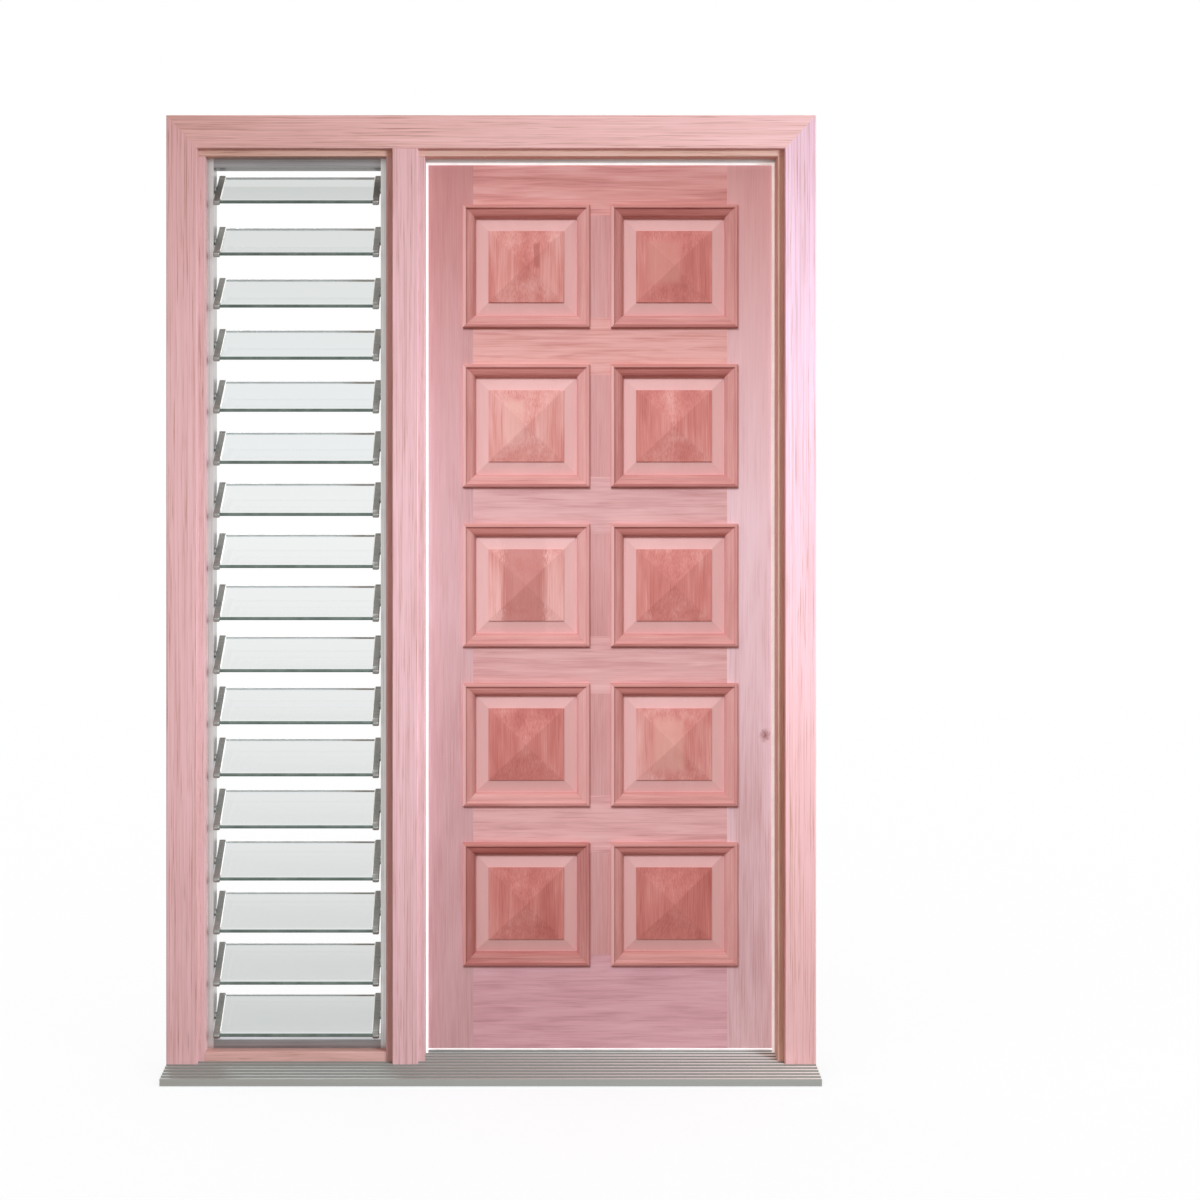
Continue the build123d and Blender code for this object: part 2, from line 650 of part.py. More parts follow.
def leaf_nodes():
    """Every node of the swinging leaf."""
    nodes = {"lock_stile": lock_stile(), "hinge_stile": hinge_stile()}
    nodes.update(rails())
    nodes["muntins"] = [muntin(row) for row in range(PANEL_ROWS)]
    panel = raised_panel()
    moulding = panel_moulding()
    back_moulding = mirror(moulding, about=Plane.XZ)
    columns = {"left": 0, "right": 1}
    for row in range(PANEL_ROWS):
        for name, column in columns.items():
            nodes[f"panel_{row + 1}_{name}"] = panel_place(row, column) * panel
    places = [panel_place(row, column) for row in range(PANEL_ROWS) for column in columns.values()]
    nodes["front_mouldings"] = [place * moulding for place in places]
    nodes["back_mouldings"] = [place * back_moulding for place in places]
    nodes["bottom_seal"] = bottom_seal()
    leaf_plate = (leaf_right - HINGE_PLATE, leaf_right)
    nodes["hinge_leaf_plates"] = [hinge_plate(low, leaf_plate, 1) for low in hinge_feet()]
    return nodes


os.makedirs("parts", exist_ok=True)
for node, shape in {**frame_nodes(), **leaf_nodes()}.items():
    solids = shape if isinstance(shape, list) else [shape]
    export_step(Compound(children=[Compound(solid.solids()) for solid in solids]), f"parts/{node}.step")
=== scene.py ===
import json
import logging
import math
from dataclasses import dataclass, field
from enum import Enum

import bmesh
import bpy
import numpy as np
from numpy.typing import NDArray
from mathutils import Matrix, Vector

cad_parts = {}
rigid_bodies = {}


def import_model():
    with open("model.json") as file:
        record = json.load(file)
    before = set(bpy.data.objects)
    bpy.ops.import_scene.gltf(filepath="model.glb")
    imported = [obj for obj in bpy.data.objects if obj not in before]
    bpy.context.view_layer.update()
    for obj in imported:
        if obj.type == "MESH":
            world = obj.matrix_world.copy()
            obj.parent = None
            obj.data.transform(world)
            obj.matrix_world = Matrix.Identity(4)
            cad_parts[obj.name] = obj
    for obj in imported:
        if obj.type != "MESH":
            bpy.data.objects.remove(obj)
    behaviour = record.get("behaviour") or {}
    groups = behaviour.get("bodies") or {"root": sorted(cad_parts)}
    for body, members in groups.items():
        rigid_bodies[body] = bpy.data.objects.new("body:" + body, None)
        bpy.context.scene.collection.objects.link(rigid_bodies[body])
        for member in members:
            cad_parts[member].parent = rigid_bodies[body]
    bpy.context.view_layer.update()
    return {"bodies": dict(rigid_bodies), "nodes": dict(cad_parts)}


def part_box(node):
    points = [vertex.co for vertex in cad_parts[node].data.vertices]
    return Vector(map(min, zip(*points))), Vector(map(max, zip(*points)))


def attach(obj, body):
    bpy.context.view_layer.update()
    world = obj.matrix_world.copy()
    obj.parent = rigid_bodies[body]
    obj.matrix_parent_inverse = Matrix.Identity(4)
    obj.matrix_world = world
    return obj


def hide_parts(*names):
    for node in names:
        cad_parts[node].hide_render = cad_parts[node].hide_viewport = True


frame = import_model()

MM = 0.001
FRAME_BODY = "frame"
LEAF_BODY = "leaf"
# Steps between the places of two boards and of two moulding sticks in the grain pattern, in metres.
BOARD_STEP = (0.377, 0.613, 1.171)
STICK_STEP = (0.31, 0.17, 0.83)
Tree = bpy.types.NodeTree
Socket = bpy.types.NodeSocket
Material = bpy.types.Material
Three = tuple[float, float, float]
Four = tuple[float, float, float, float]
log = logging.getLogger("door_set")


def linear(code: str) -> Four:
    """Turn an sRGB hex colour into linear light.

    Args:
        code: Six hex digits, red first.

    Returns:
        Red, green and blue in linear light, and an alpha of one.
    """
    shown = np.array([int(code[i:i + 2], 16) for i in (0, 2, 4)]) / 255
    light = np.where(shown <= 0.04045, shown / 12.92, ((shown + 0.055) / 1.055) ** 2.4)
    return (*light.tolist(), 1.0)


def add_node(tree: Tree, kind: str, settings: dict | None = None,
             links: dict | None = None) -> bpy.types.Node:
    """Add a shader node with its settings and links.

    Args:
        tree: Node tree that takes the node.
        kind: Type of the node, without its ShaderNode prefix.
        settings: Values by property name, or by input name or number. "stops" holds a colour ramp's stops.
        links: Output sockets by the input name or number that they feed.

    Returns:
        The new node.
    """
    node = tree.nodes.new("ShaderNode" + kind)
    for key, value in (settings or {}).items():
        if key == "stops":
            elements = node.color_ramp.elements
            while len(elements) < len(value):
                elements.new(0.5)
            for element, (position, colour) in zip(elements, value):
                element.position = position
                element.color = colour
        elif isinstance(key, int) or key in node.inputs:
            node.inputs[key].default_value = value
        else:
            setattr(node, key, value)
    for key, source in (links or {}).items():
        tree.links.new(source, node.inputs[key])
    return node


def new_material(name: str) -> tuple[Material, Tree]:
    """Make an empty node material.

    Args:
        name: Name of the material.

    Returns:
        The material and its node tree.
    """
    material = bpy.data.materials.new(name)
    material.use_nodes = True
    material.node_tree.nodes.clear()
    return material, material.node_tree


class Grain(Enum):
    """Direction of a board's fibres or of a metal's drawn lines. A stick keeps its own with its mesh."""

    UPRIGHT = "upright"
    LEVEL = "level"
    STICK = "stick"

    def turn(self) -> Three:
        """Turn that brings the fibres onto Z."""
        return (0.0, math.pi / 2 if self is Grain.LEVEL else 0.0, 0.0)


@dataclass(frozen=True)
class Timber:
    """Planed, unsealed meranti: salmon to pale pink, with thin open vessels drawn out along the fibres.

    To the eye it is a matt, streaky wood, never of one tone. The tone is a weighted sum of a slow drift,
    fibre streaks and the figure of the growth layers, coloured from dark to pale. It leans along the board,
    vessel lines darken it, and a tint multiplies it from one place along it to another. A raised panel's
    planed border is paler than its field, which may have a patch of another growth layer. Fibres and vessels
    are drawn coarser than the real 0.3 mm, so that they show in the picture.
    """

    name: str
    dark: str
    middle: str
    pale: str
    grain: Grain = Grain.UPRIGHT
    seed: int = 0
    tone: float = 0.0
    lean: float = 0.0
    drift: float = 0.4
    fibre: float = 0.55
    figure: float = 0.2
    vessel: float = 0.4
    fibre_mm: Three = (1.8, 1.8, 130.0)
    vessel_mm: Three = (1.5, 1.5, 80.0)
    figure_mm: Three = (45.0, 45.0, 600.0)
    drift_mm: Three = (38.0, 38.0, 260.0)
    tint: tuple[str, float, float] | None = None
    knot: tuple[float, float] | None = None
    knot_mm: tuple[float, float] = (10.0, 13.0)
    knot_ragged_mm: float = 6.25
    knot_colour: str = "9A5A5C"
    field_box: Four | None = None
    border_colour: str = "EABEBD"
    heart_box: Four | None = None
    heart_colour: str = ""

    def pattern(self, tree: Tree, board: Socket, sizes_mm: Three, detail: float, bend: float = 0.4) -> Socket:
        """Noise drawn out along the fibres.

        Args:
            tree: Node tree of the material.
            board: Coordinates with the fibres along Z and the face across Y, in metres.
            sizes_mm: Width, depth and length of one mark.
            detail: Octaves of the noise.
            bend: How far the marks wander, in their own sizes.

        Returns:
            Socket with values about 0.5.
        """
        scale = tuple(1 / (size * MM) for size in sizes_mm)
        place = add_node(tree, "Mapping", {"Scale": scale}, {"Vector": board})
        noise = add_node(tree, "TexNoise", {
            "Scale": 1.0, "Detail": detail, "Roughness": 0.6, "Distortion": bend,
        }, {"Vector": place.outputs[0]})
        return noise.outputs[0]

    def box_reach(self, tree: Tree, place: Socket, box: Four) -> Socket:
        """Distance from a box's middle on the face, in half sizes: the larger of the level and upright ones.

        Args:
            tree: Node tree of the material.
            place: Object coordinates.
            box: Middle across and up, half width and half height, in metres.

        Returns:
            Socket that is 0 at the middle and 1 on the box's edges.
        """
        across, up, half_width, half_height = box
        near = add_node(tree, "Mapping", {
            "Location": (-across / half_width, 0.0, -up / half_height),
            "Scale": (1 / half_width, 0.0, 1 / half_height),
        }, {"Vector": place})
        size = add_node(tree, "VectorMath", {"operation": "ABSOLUTE"}, {0: near.outputs[0]})
        split = add_node(tree, "SeparateXYZ", {}, {0: size.outputs[0]})
        larger = add_node(tree, "Math", {"operation": "MAXIMUM"}, {0: split.outputs[0], 1: split.outputs[2]})
        return larger.outputs[0]

    def panel_marks(self, tree: Tree, place: Socket, ragged: Socket, colour: Socket) -> Socket:
        """Add the ragged patch where the raised field cuts another growth layer, and the paler planed border.

        Args:
            tree: Node tree of the material.
            place: Object coordinates.
            ragged: Fibre pattern that frays the patch.
            colour: Colour so far.

        Returns:
            The colour with both.
        """
        if self.heart_box:
            frayed = add_node(tree, "Math", {"operation": "MULTIPLY_ADD", 1: 0.8},
                              {0: ragged, 2: self.box_reach(tree, place, self.heart_box)})
            inside = add_node(tree, "MapRange", {
                "interpolation_type": "SMOOTHSTEP", 1: 1.15, 2: 1.5, 3: 0.7, 4: 0.0,
            }, {0: frayed.outputs[0]})
            colour = add_node(tree, "Mix", {"data_type": "RGBA", 7: linear(self.heart_colour)},
                              {0: inside.outputs[0], 6: colour}).outputs[2]
        outside = add_node(tree, "MapRange", {1: 1.0, 2: 1.01, 3: 0.0, 4: 0.8},
                           {0: self.box_reach(tree, place, self.field_box)})
        return add_node(tree, "Mix", {"data_type": "RGBA", 7: linear(self.border_colour)},
                        {0: outside.outputs[0], 6: colour}).outputs[2]

    def knot_mark(self, tree: Tree, place: Socket, colour: Socket) -> Socket:
        """Darken a small oval knot.

        Args:
            tree: Node tree of the material.
            place: Object coordinates.
            colour: Colour so far.

        Returns:
            The colour with the knot.
        """
        across, up = self.knot
        size = (1 / (self.knot_mm[0] * MM), 0.0, 1 / (self.knot_mm[1] * MM))
        near = add_node(tree, "Mapping", {
            "Location": (-across * size[0], 0.0, -up * size[2]), "Scale": size,
        }, {"Vector": place})
        ragged = add_node(tree, "TexNoise", {"Scale": 1 / (self.knot_ragged_mm * MM), "Detail": 3.0},
                          {"Vector": place})
        distance = add_node(tree, "VectorMath", {"operation": "LENGTH"}, {0: near.outputs[0]})
        reach = add_node(tree, "Math", {"operation": "MULTIPLY_ADD", 1: 1.6}, {
            0: ragged.outputs[0], 2: distance.outputs[1],
        })
        strength = add_node(tree, "MapRange", {1: 0.9, 2: 2.2, 3: 0.85, 4: 0.0}, {0: reach.outputs[0]})
        return add_node(tree, "Mix", {"data_type": "RGBA", 7: linear(self.knot_colour)},
                        {0: strength.outputs[0], 6: colour}).outputs[2]

    def material(self) -> Material:
        """Build the nodes of this board.

        Returns:
            The material.
        """
        material, tree = new_material(self.name)
        if self.grain is Grain.STICK:
            place = add_node(tree, "Attribute", {"attribute_name": "board"}).outputs["Vector"]
        else:
            place = add_node(tree, "TexCoord").outputs["Object"]
        shift = tuple(step * self.seed for step in BOARD_STEP)
        board = add_node(tree, "Mapping", {"Rotation": self.grain.turn(), "Location": shift},
                         {"Vector": place}).outputs[0]
        drift = self.pattern(tree, board, self.drift_mm, 3.0)
        fibre = self.pattern(tree, board, self.fibre_mm, 3.0)
        figure = self.pattern(tree, board, self.figure_mm, 2.0)
        vessels = self.pattern(tree, board, self.vessel_mm, 2.0, 0.2)
        weights = ((drift, self.drift), (fibre, self.fibre), (figure, self.figure))
        start = 0.5 + self.tone - sum(weight for _, weight in weights) / 2
        tone = None
        for source, weight in weights:
            links = {0: source} if tone is None else {0: source, 2: tone}
            added = add_node(tree, "Math", {"operation": "MULTIPLY_ADD", 1: weight, 2: start}, links)
            tone = added.outputs[0]
        axes = add_node(tree, "SeparateXYZ", {}, {0: place}).outputs
        along = axes[0] if self.grain is Grain.LEVEL else axes[2]
        leaning = add_node(tree, "Math", {"operation": "MULTIPLY_ADD", 1: self.lean}, {0: along, 2: tone})
        tone = leaning.outputs[0]
        if self.grain is Grain.STICK:
            own = add_node(tree, "Attribute", {"attribute_name": "tone"}).outputs["Fac"]
            tone = add_node(tree, "Math", {"operation": "ADD"}, {0: tone, 1: own}).outputs[0]
        lines = add_node(tree, "MapRange", {1: 0.58, 2: 0.76, 3: 0.0, 4: -self.vessel}, {0: vessels})
        tone = add_node(tree, "Math", {"operation": "ADD"}, {0: tone, 1: lines.outputs[0]}).outputs[0]
        colour = add_node(tree, "ValToRGB", {"stops": [
            (0.2, linear(self.dark)), (0.5, linear(self.middle)), (0.8, linear(self.pale)),
        ]}, {0: tone}).outputs[0]
        if self.tint:
            code, none_at, full_at = self.tint
            share = add_node(tree, "MapRange", {1: none_at * MM, 2: full_at * MM}, {0: along})
            colour = add_node(tree, "Mix", {"data_type": "RGBA", "blend_type": "MULTIPLY", 7: linear(code)},
                              {0: share.outputs[0], 6: colour}).outputs[2]
        if self.field_box:
            colour = self.panel_marks(tree, place, fibre, colour)
        if self.knot:
            colour = self.knot_mark(tree, place, colour)
        rough = add_node(tree, "Math", {"operation": "MULTIPLY_ADD", 1: -0.2, 2: 0.72}, {0: fibre})
        relief = add_node(tree, "Bump", {"Strength": 0.2, "Distance": 0.3 * MM}, {"Height": vessels})
        shader = add_node(tree, "BsdfPrincipled", {"Specular IOR Level": 0.25}, {
            "Base Color": colour, "Roughness": rough.outputs[0], "Normal": relief.outputs[0],
        })
        add_node(tree, "OutputMaterial", {}, {0: shader.outputs[0]})
        return material


@dataclass(frozen=True)
class DrawnMetal:
    """Extruded or rolled metal with a satin face: a soft grey sheen, with faint lines drawn along its length.

    A line is 200 times as long as it is wide, and is drawn coarser than the real 0.1 mm, so that it shows.
    """

    name: str
    colour: str
    shade: str
    roughness: float = 0.42
    grain: Grain = Grain.UPRIGHT
    line_mm: float = 1.5
    line_stretch: float = 200.0
    relief: float = 0.1
    haze_mm: float = 71.0

    def material(self) -> Material:
        """Build the nodes of this metal.

        Returns:
            The material.
        """
        material, tree = new_material(self.name)
        place = add_node(tree, "TexCoord").outputs["Object"]
        board = add_node(tree, "Mapping", {"Rotation": self.grain.turn()}, {"Vector": place}).outputs[0]
        fine = 1 / (self.line_mm * MM)
        scale = (fine, fine, fine / self.line_stretch)
        drawn = add_node(tree, "Mapping", {"Scale": scale}, {"Vector": board})
        lines = add_node(tree, "TexNoise", {"Scale": 1.0, "Detail": 3.0},
                         {"Vector": drawn.outputs[0]}).outputs[0]
        haze = add_node(tree, "TexNoise", {"Scale": 1 / (self.haze_mm * MM), "Detail": 3.0},
                        {"Vector": place}).outputs[0]
        mixed = add_node(tree, "Math", {"operation": "MULTIPLY_ADD", 1: 0.2}, {0: haze, 2: lines}).outputs[0]
        stops = [(0.35, linear(self.shade)), (0.85, linear(self.colour))]
        colour = add_node(tree, "ValToRGB", {"stops": stops}, {0: mixed}).outputs[0]
        rough = add_node(tree, "Math", {
            "operation": "MULTIPLY_ADD", 1: 0.1, 2: self.roughness - 0.05,
        }, {0: haze})
        relief = add_node(tree, "Bump", {"Strength": self.relief, "Distance": 0.1 * MM}, {"Height": lines})
        shader = add_node(tree, "BsdfPrincipled", {"Metallic": 1.0}, {
            "Base Color": colour, "Roughness": rough.outputs[0], "Normal": relief.outputs[0],
        })
        add_node(tree, "OutputMaterial", {}, {0: shader.outputs[0]})
        return material


@dataclass(frozen=True)
class RibbedMetal:
    """Mill-finish sill: dull nose, valleys darkened by painted shade, and rib tops with a painted highlight
    that brightens towards the hinge side.

    To the eye it is a row of grey lines that brighten to one side. A place's distance behind the nose, in rib
    pitches, less its whole part, is below the crest's share on a rib top.
    """

    name: str
    nose: str
    valley: str
    dull: str
    bright: str
    front_mm: float
    pitch_mm: float
    crest_mm: float
    glint_mm: tuple[float, float]
    line_mm: Three = (500.0, 2.5, 2.5)
    nose_skin_mm: float = 0.3
    roughness: float = 0.6

    def material(self) -> Material:
        """Build the nodes of this sill.

        Returns:
            The material.
        """
        material, tree = new_material(self.name)
        place = add_node(tree, "TexCoord").outputs["Object"]
        across, depth, _ = add_node(tree, "SeparateXYZ", {}, {0: place}).outputs
        scale = tuple(1 / (size * MM) for size in self.line_mm)
        drawn = add_node(tree, "Mapping", {"Scale": scale}, {"Vector": place})
        lines = add_node(tree, "TexNoise", {"Scale": 1.0, "Detail": 3.0},
                         {"Vector": drawn.outputs[0]}).outputs[0]
        # Painted highlight: the rib tops go from the dull colour to the bright one across the sill, towards
        # the hinge side.
        glint_share = add_node(tree, "MapRange", {1: self.glint_mm[0] * MM, 2: self.glint_mm[1] * MM}, {0: across})
        crest = add_node(tree, "Mix", {"data_type": "RGBA", 6: linear(self.dull), 7: linear(self.bright)},
                         {0: glint_share.outputs[0]})
        ribs = add_node(tree, "Math", {"operation": "MULTIPLY_ADD", 1: 1 / (self.pitch_mm * MM),
                                       2: -self.front_mm / self.pitch_mm}, {0: depth})
        phase = add_node(tree, "Math", {"operation": "FRACT"}, {0: ribs.outputs[0]})
        on_crest = add_node(tree, "Math", {"operation": "LESS_THAN", 1: self.crest_mm / self.pitch_mm},
                            {0: phase.outputs[0]})
        # Painted shade: the valleys take their own darker colour.
        top = add_node(tree, "Mix", {"data_type": "RGBA", 6: linear(self.valley)},
                       {0: on_crest.outputs[0], 7: crest.outputs[2]})
        nose_end = (self.front_mm + self.nose_skin_mm) * MM
        on_nose = add_node(tree, "Math", {"operation": "LESS_THAN", 1: nose_end}, {0: depth})
        whole = add_node(tree, "Mix", {"data_type": "RGBA", 7: linear(self.nose)},
                         {0: on_nose.outputs[0], 6: top.outputs[2]})
        level = add_node(tree, "MapRange", {3: 0.88, 4: 1.12}, {0: lines})
        colour = add_node(tree, "VectorMath", {"operation": "SCALE"},
                          {0: whole.outputs[2], "Scale": level.outputs[0]})
        shader = add_node(tree, "BsdfPrincipled", {"Metallic": 0.25, "Roughness": self.roughness},
                          {"Base Color": colour.outputs[0]})
        add_node(tree, "OutputMaterial", {}, {0: shader.outputs[0]})
        return material


@dataclass(frozen=True)
class FloatGlass:
    """Clear float glass in daylight: it lets a faintly grey light straight through and mirrors the rest.

    The tint is light along the lower edge of a blade, a painted highlight, and deepens towards the top and
    the foot of the stack, a painted shade.
    """

    name: str
    front: str
    stack: tuple[tuple[float, str], ...]
    ior: float = 1.5

    def material(self) -> Material:
        """Build the nodes of this glass.

        Returns:
            The material.
        """
        material, tree = new_material(self.name)
        chord = add_node(tree, "Attribute", {"attribute_name": "chord"}).outputs["Fac"]
        place = add_node(tree, "TexCoord").outputs["Object"]
        height = add_node(tree, "SeparateXYZ", {}, {0: place}).outputs[2]
        # Painted shade: the tint deepens towards the top and the foot of the stack.
        top = self.stack[-1][0]
        share = add_node(tree, "Math", {"operation": "DIVIDE", 1: top * MM}, {0: height})
        stops = [(level / top, linear(code)) for level, code in self.stack]
        tint = add_node(tree, "ValToRGB", {"stops": stops}, {0: share.outputs[0]}).outputs[0]
        # Painted highlight: the glass is paler along its lower edge.
        inner = add_node(tree, "MapRange", {1: 0.02, 2: 0.12}, {0: chord}).outputs[0]
        colour = add_node(tree, "Mix", {"data_type": "RGBA", 6: linear(self.front)}, {0: inner, 7: tint})
        through = add_node(tree, "BsdfTransparent", {}, {"Color": colour.outputs[2]})
        mirror = add_node(tree, "BsdfGlossy", {"Roughness": 0.03})
        bend = add_node(tree, "Fresnel", {"IOR": self.ior})
        inside = add_node(tree, "NewGeometry").outputs["Backfacing"]
        mirrored = add_node(tree, "Mix", {"data_type": "FLOAT", 3: 0.0}, {0: inside, 2: bend.outputs[0]})
        pane = add_node(tree, "MixShader", {}, {
            0: mirrored.outputs[0], 1: through.outputs[0], 2: mirror.outputs[0],
        })
        add_node(tree, "OutputMaterial", {}, {0: pane.outputs[0]})
        return material


@dataclass(frozen=True)
class SoftSeal:
    """Extruded seal or cut glass edge: even, faintly clouded, with a low sheen.

    A pale seal glows a little, a painted light that keeps it bright in its narrow, shaded gap.
    """

    name: str
    colour: str
    shade: str
    roughness: float = 0.55
    cloud_mm: float = 30.0
    glow: float = 0.0

    def material(self) -> Material:
        """Build the nodes of this seal.

        Returns:
            The material.
        """
        material, tree = new_material(self.name)
        place = add_node(tree, "TexCoord").outputs["Object"]
        cloud = add_node(tree, "TexNoise", {"Scale": 1 / (self.cloud_mm * MM), "Detail": 4.0},
                         {"Vector": place})
        stops = [(0.35, linear(self.shade)), (0.65, linear(self.colour))]
        colour = add_node(tree, "ValToRGB", {"stops": stops}, {0: cloud.outputs[0]}).outputs[0]
        # A glow above nought is painted light: the seal is no lamp.
        shader = add_node(tree, "BsdfPrincipled", {
            "Roughness": self.roughness, "Emission Strength": self.glow,
        }, {"Base Color": colour, "Emission Color": colour})
        add_node(tree, "OutputMaterial", {}, {0: shader.outputs[0]})
        return material


def dress(node: str, material: Material) -> None:
    """Give a CAD node a material in all its slots.

    Args:
        node: Name of the node.
        material: Material that it takes.
    """
    mesh = frame["nodes"][node].data
    mesh.materials.clear()
    mesh.materials.append(material)
    log.info("%s: %s", node, material.name)


def add_piece(name: str, vertices: NDArray, faces: list, materials: list[Material], body: str,
              stands_for: tuple[str, ...] = (), sharp_degrees: float = 35.0) -> bpy.types.Object:
    """Make a mesh piece in place, turn its faces outwards, and let it ride on a body.

    Args:
        name: Name of the piece.
        vertices: Points in metres, one row each.
        faces: Vertex numbers of each face, in any turning direction.
        materials: Materials by face index.
        body: CAD body that carries the piece.
        stands_for: CAD nodes that the piece replaces.
        sharp_degrees: Angle past which an edge is drawn sharp.

    Returns:
        The new object.
    """
    mesh = bpy.data.meshes.new(name)
    mesh.from_pydata(vertices.tolist(), [], faces)
    shells = bmesh.new()
    shells.from_mesh(mesh)
    bmesh.ops.recalc_face_normals(shells, faces=shells.faces)
    shells.to_mesh(mesh)
    shells.free()
    mesh.polygons.foreach_set("use_smooth", np.ones(len(mesh.polygons), bool))
    mesh.set_sharp_from_angle(angle=math.radians(sharp_degrees))
    for material in materials:
        mesh.materials.append(material)
    piece = bpy.data.objects.new(name, mesh)
    bpy.context.scene.collection.objects.link(piece)
    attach(piece, body)
    if stands_for:
        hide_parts(*stands_for)
    log.info("%s: %d faces", name, len(mesh.polygons))
    return piece


def arc(centre: tuple[float, float], radii: tuple[float, float], start: float, end: float,
        count: int) -> NDArray:
    """Points along a quarter or half of an ellipse: the centre plus each radius times the cosine or sine.

    Args:
        centre: Middle of the ellipse.
        radii: Its half widths.
        start: First angle in degrees.
        end: Last angle in degrees.
        count: Number of points.

    Returns:
        The points, one row each.
    """
    angle = np.radians(np.linspace(start, end, count))
    return np.column_stack([centre[0] + radii[0] * np.cos(angle), centre[1] + radii[1] * np.sin(angle)])


def tube_faces(ring: int, stations: int, first: int = 0) -> list:
    """Faces of a closed profile carried over some stations, with both ends capped.

    Args:
        ring: Points of the profile.
        stations: Copies of the profile along the path.
        first: Number of the first vertex.

    Returns:
        Quads along the path and one polygon at each end.
    """
    grid = first + np.arange(ring * stations).reshape(stations, ring)
    after = np.roll(grid, -1, axis=1)
    quads = np.stack([grid[:-1], after[:-1], after[1:], grid[1:]], axis=-1).reshape(-1, 4)
    return quads.tolist() + [grid[0][::-1].tolist(), grid[-1].tolist()]


# Straight grain of the cover moulds, drawn coarser than real vessels of 0.3 mm so that it shows.
COVER_GRAIN = {
    "drift": 0.25, "fibre": 0.8, "vessel": 0.5, "fibre_mm": (2.4, 2.4, 420.0), "vessel_mm": (1.8, 1.8, 160.0),
}
# Broad figure of the leaf's cross rails, with faint vessels.
RAIL_GRAIN = {"figure": 0.8, "vessel": 0.1, "figure_mm": (12.0, 12.0, 160.0)}


@dataclass
class FrameTimbers:
    """Jambs, mullion, head and low rail, with the cover moulds on their outer face.

    The moulds are pale and fine-lined, the right one palest. The boards behind them are browner, a painted
    shade for their margins, which lie mostly in the covers' shadow.
    """

    covers: dict[str, Timber] = field(default_factory=lambda: {
        "left_cover": Timber("meranti_left_cover", "C08E82", "EBBCC0", "F6CDD2", seed=1, **COVER_GRAIN),
        "mullion_cover": Timber("meranti_mullion_cover", "C2928A", "E8BCC2", "F6CDD4", seed=2, **COVER_GRAIN),
        "right_cover": Timber("meranti_right_cover", "D0A4A4", "F6D0E4", "FFE2F6", seed=3,
                              tint=("FAEAD8", 1700.0, 700.0), **COVER_GRAIN),
        "head_cover": Timber("meranti_head_cover", "C4948A", "F0C1C0", "FFD6DA", Grain.LEVEL, 4, lean=0.1,
                             **COVER_GRAIN),
    })
    # Browner boards, above all the right jamb and the head: a painted shade for margins in the covers'
    # shadow.
    carcass: dict[str, Timber] = field(default_factory=lambda: {
        "left_jamb": Timber("meranti_left_jamb", "B88F82", "E2B8BA", "F2CACE", seed=5),
        "mullion": Timber("meranti_mullion", "B48A7C", "DAB3B6", "EEC6CA", seed=6),
        "right_jamb": Timber("meranti_right_jamb", "C09580", "E6BEB0", "F2CCC8", seed=7),
        "head": Timber("meranti_head", "C09582", "E6BCAE", "F2CCC4", Grain.LEVEL, 8),
        "sidelight_rail": Timber("meranti_low_rail", "B58A78", "E0B2AC", "F0C6C4", Grain.LEVEL, 9),
    })

    def finish(self) -> None:
        """Dress every fixed board in its own timber."""
        for node, timber in {**self.covers, **self.carcass}.items():
            dress(node, timber.material())


class Face(Enum):
    """Face of the leaf, with its direction along Y."""

    OUTER = -1.0
    INNER = 1.0


@dataclass(frozen=True)
class PanelLook:
    """Tones of one panel and of its moulding, and the patch where its field cuts another growth layer.

    The patch has its middle, from the panel's own, and its half sizes in millimetres.
    """

    tone: float
    sticks: float
    heart: Four | None = None
    heart_colour: str = ""


# Points of the moulding's section on its outer round and flat, and on the foot of its ovolo and the bed.
ROUND_POINTS = 9
FOOT_POINTS = 7


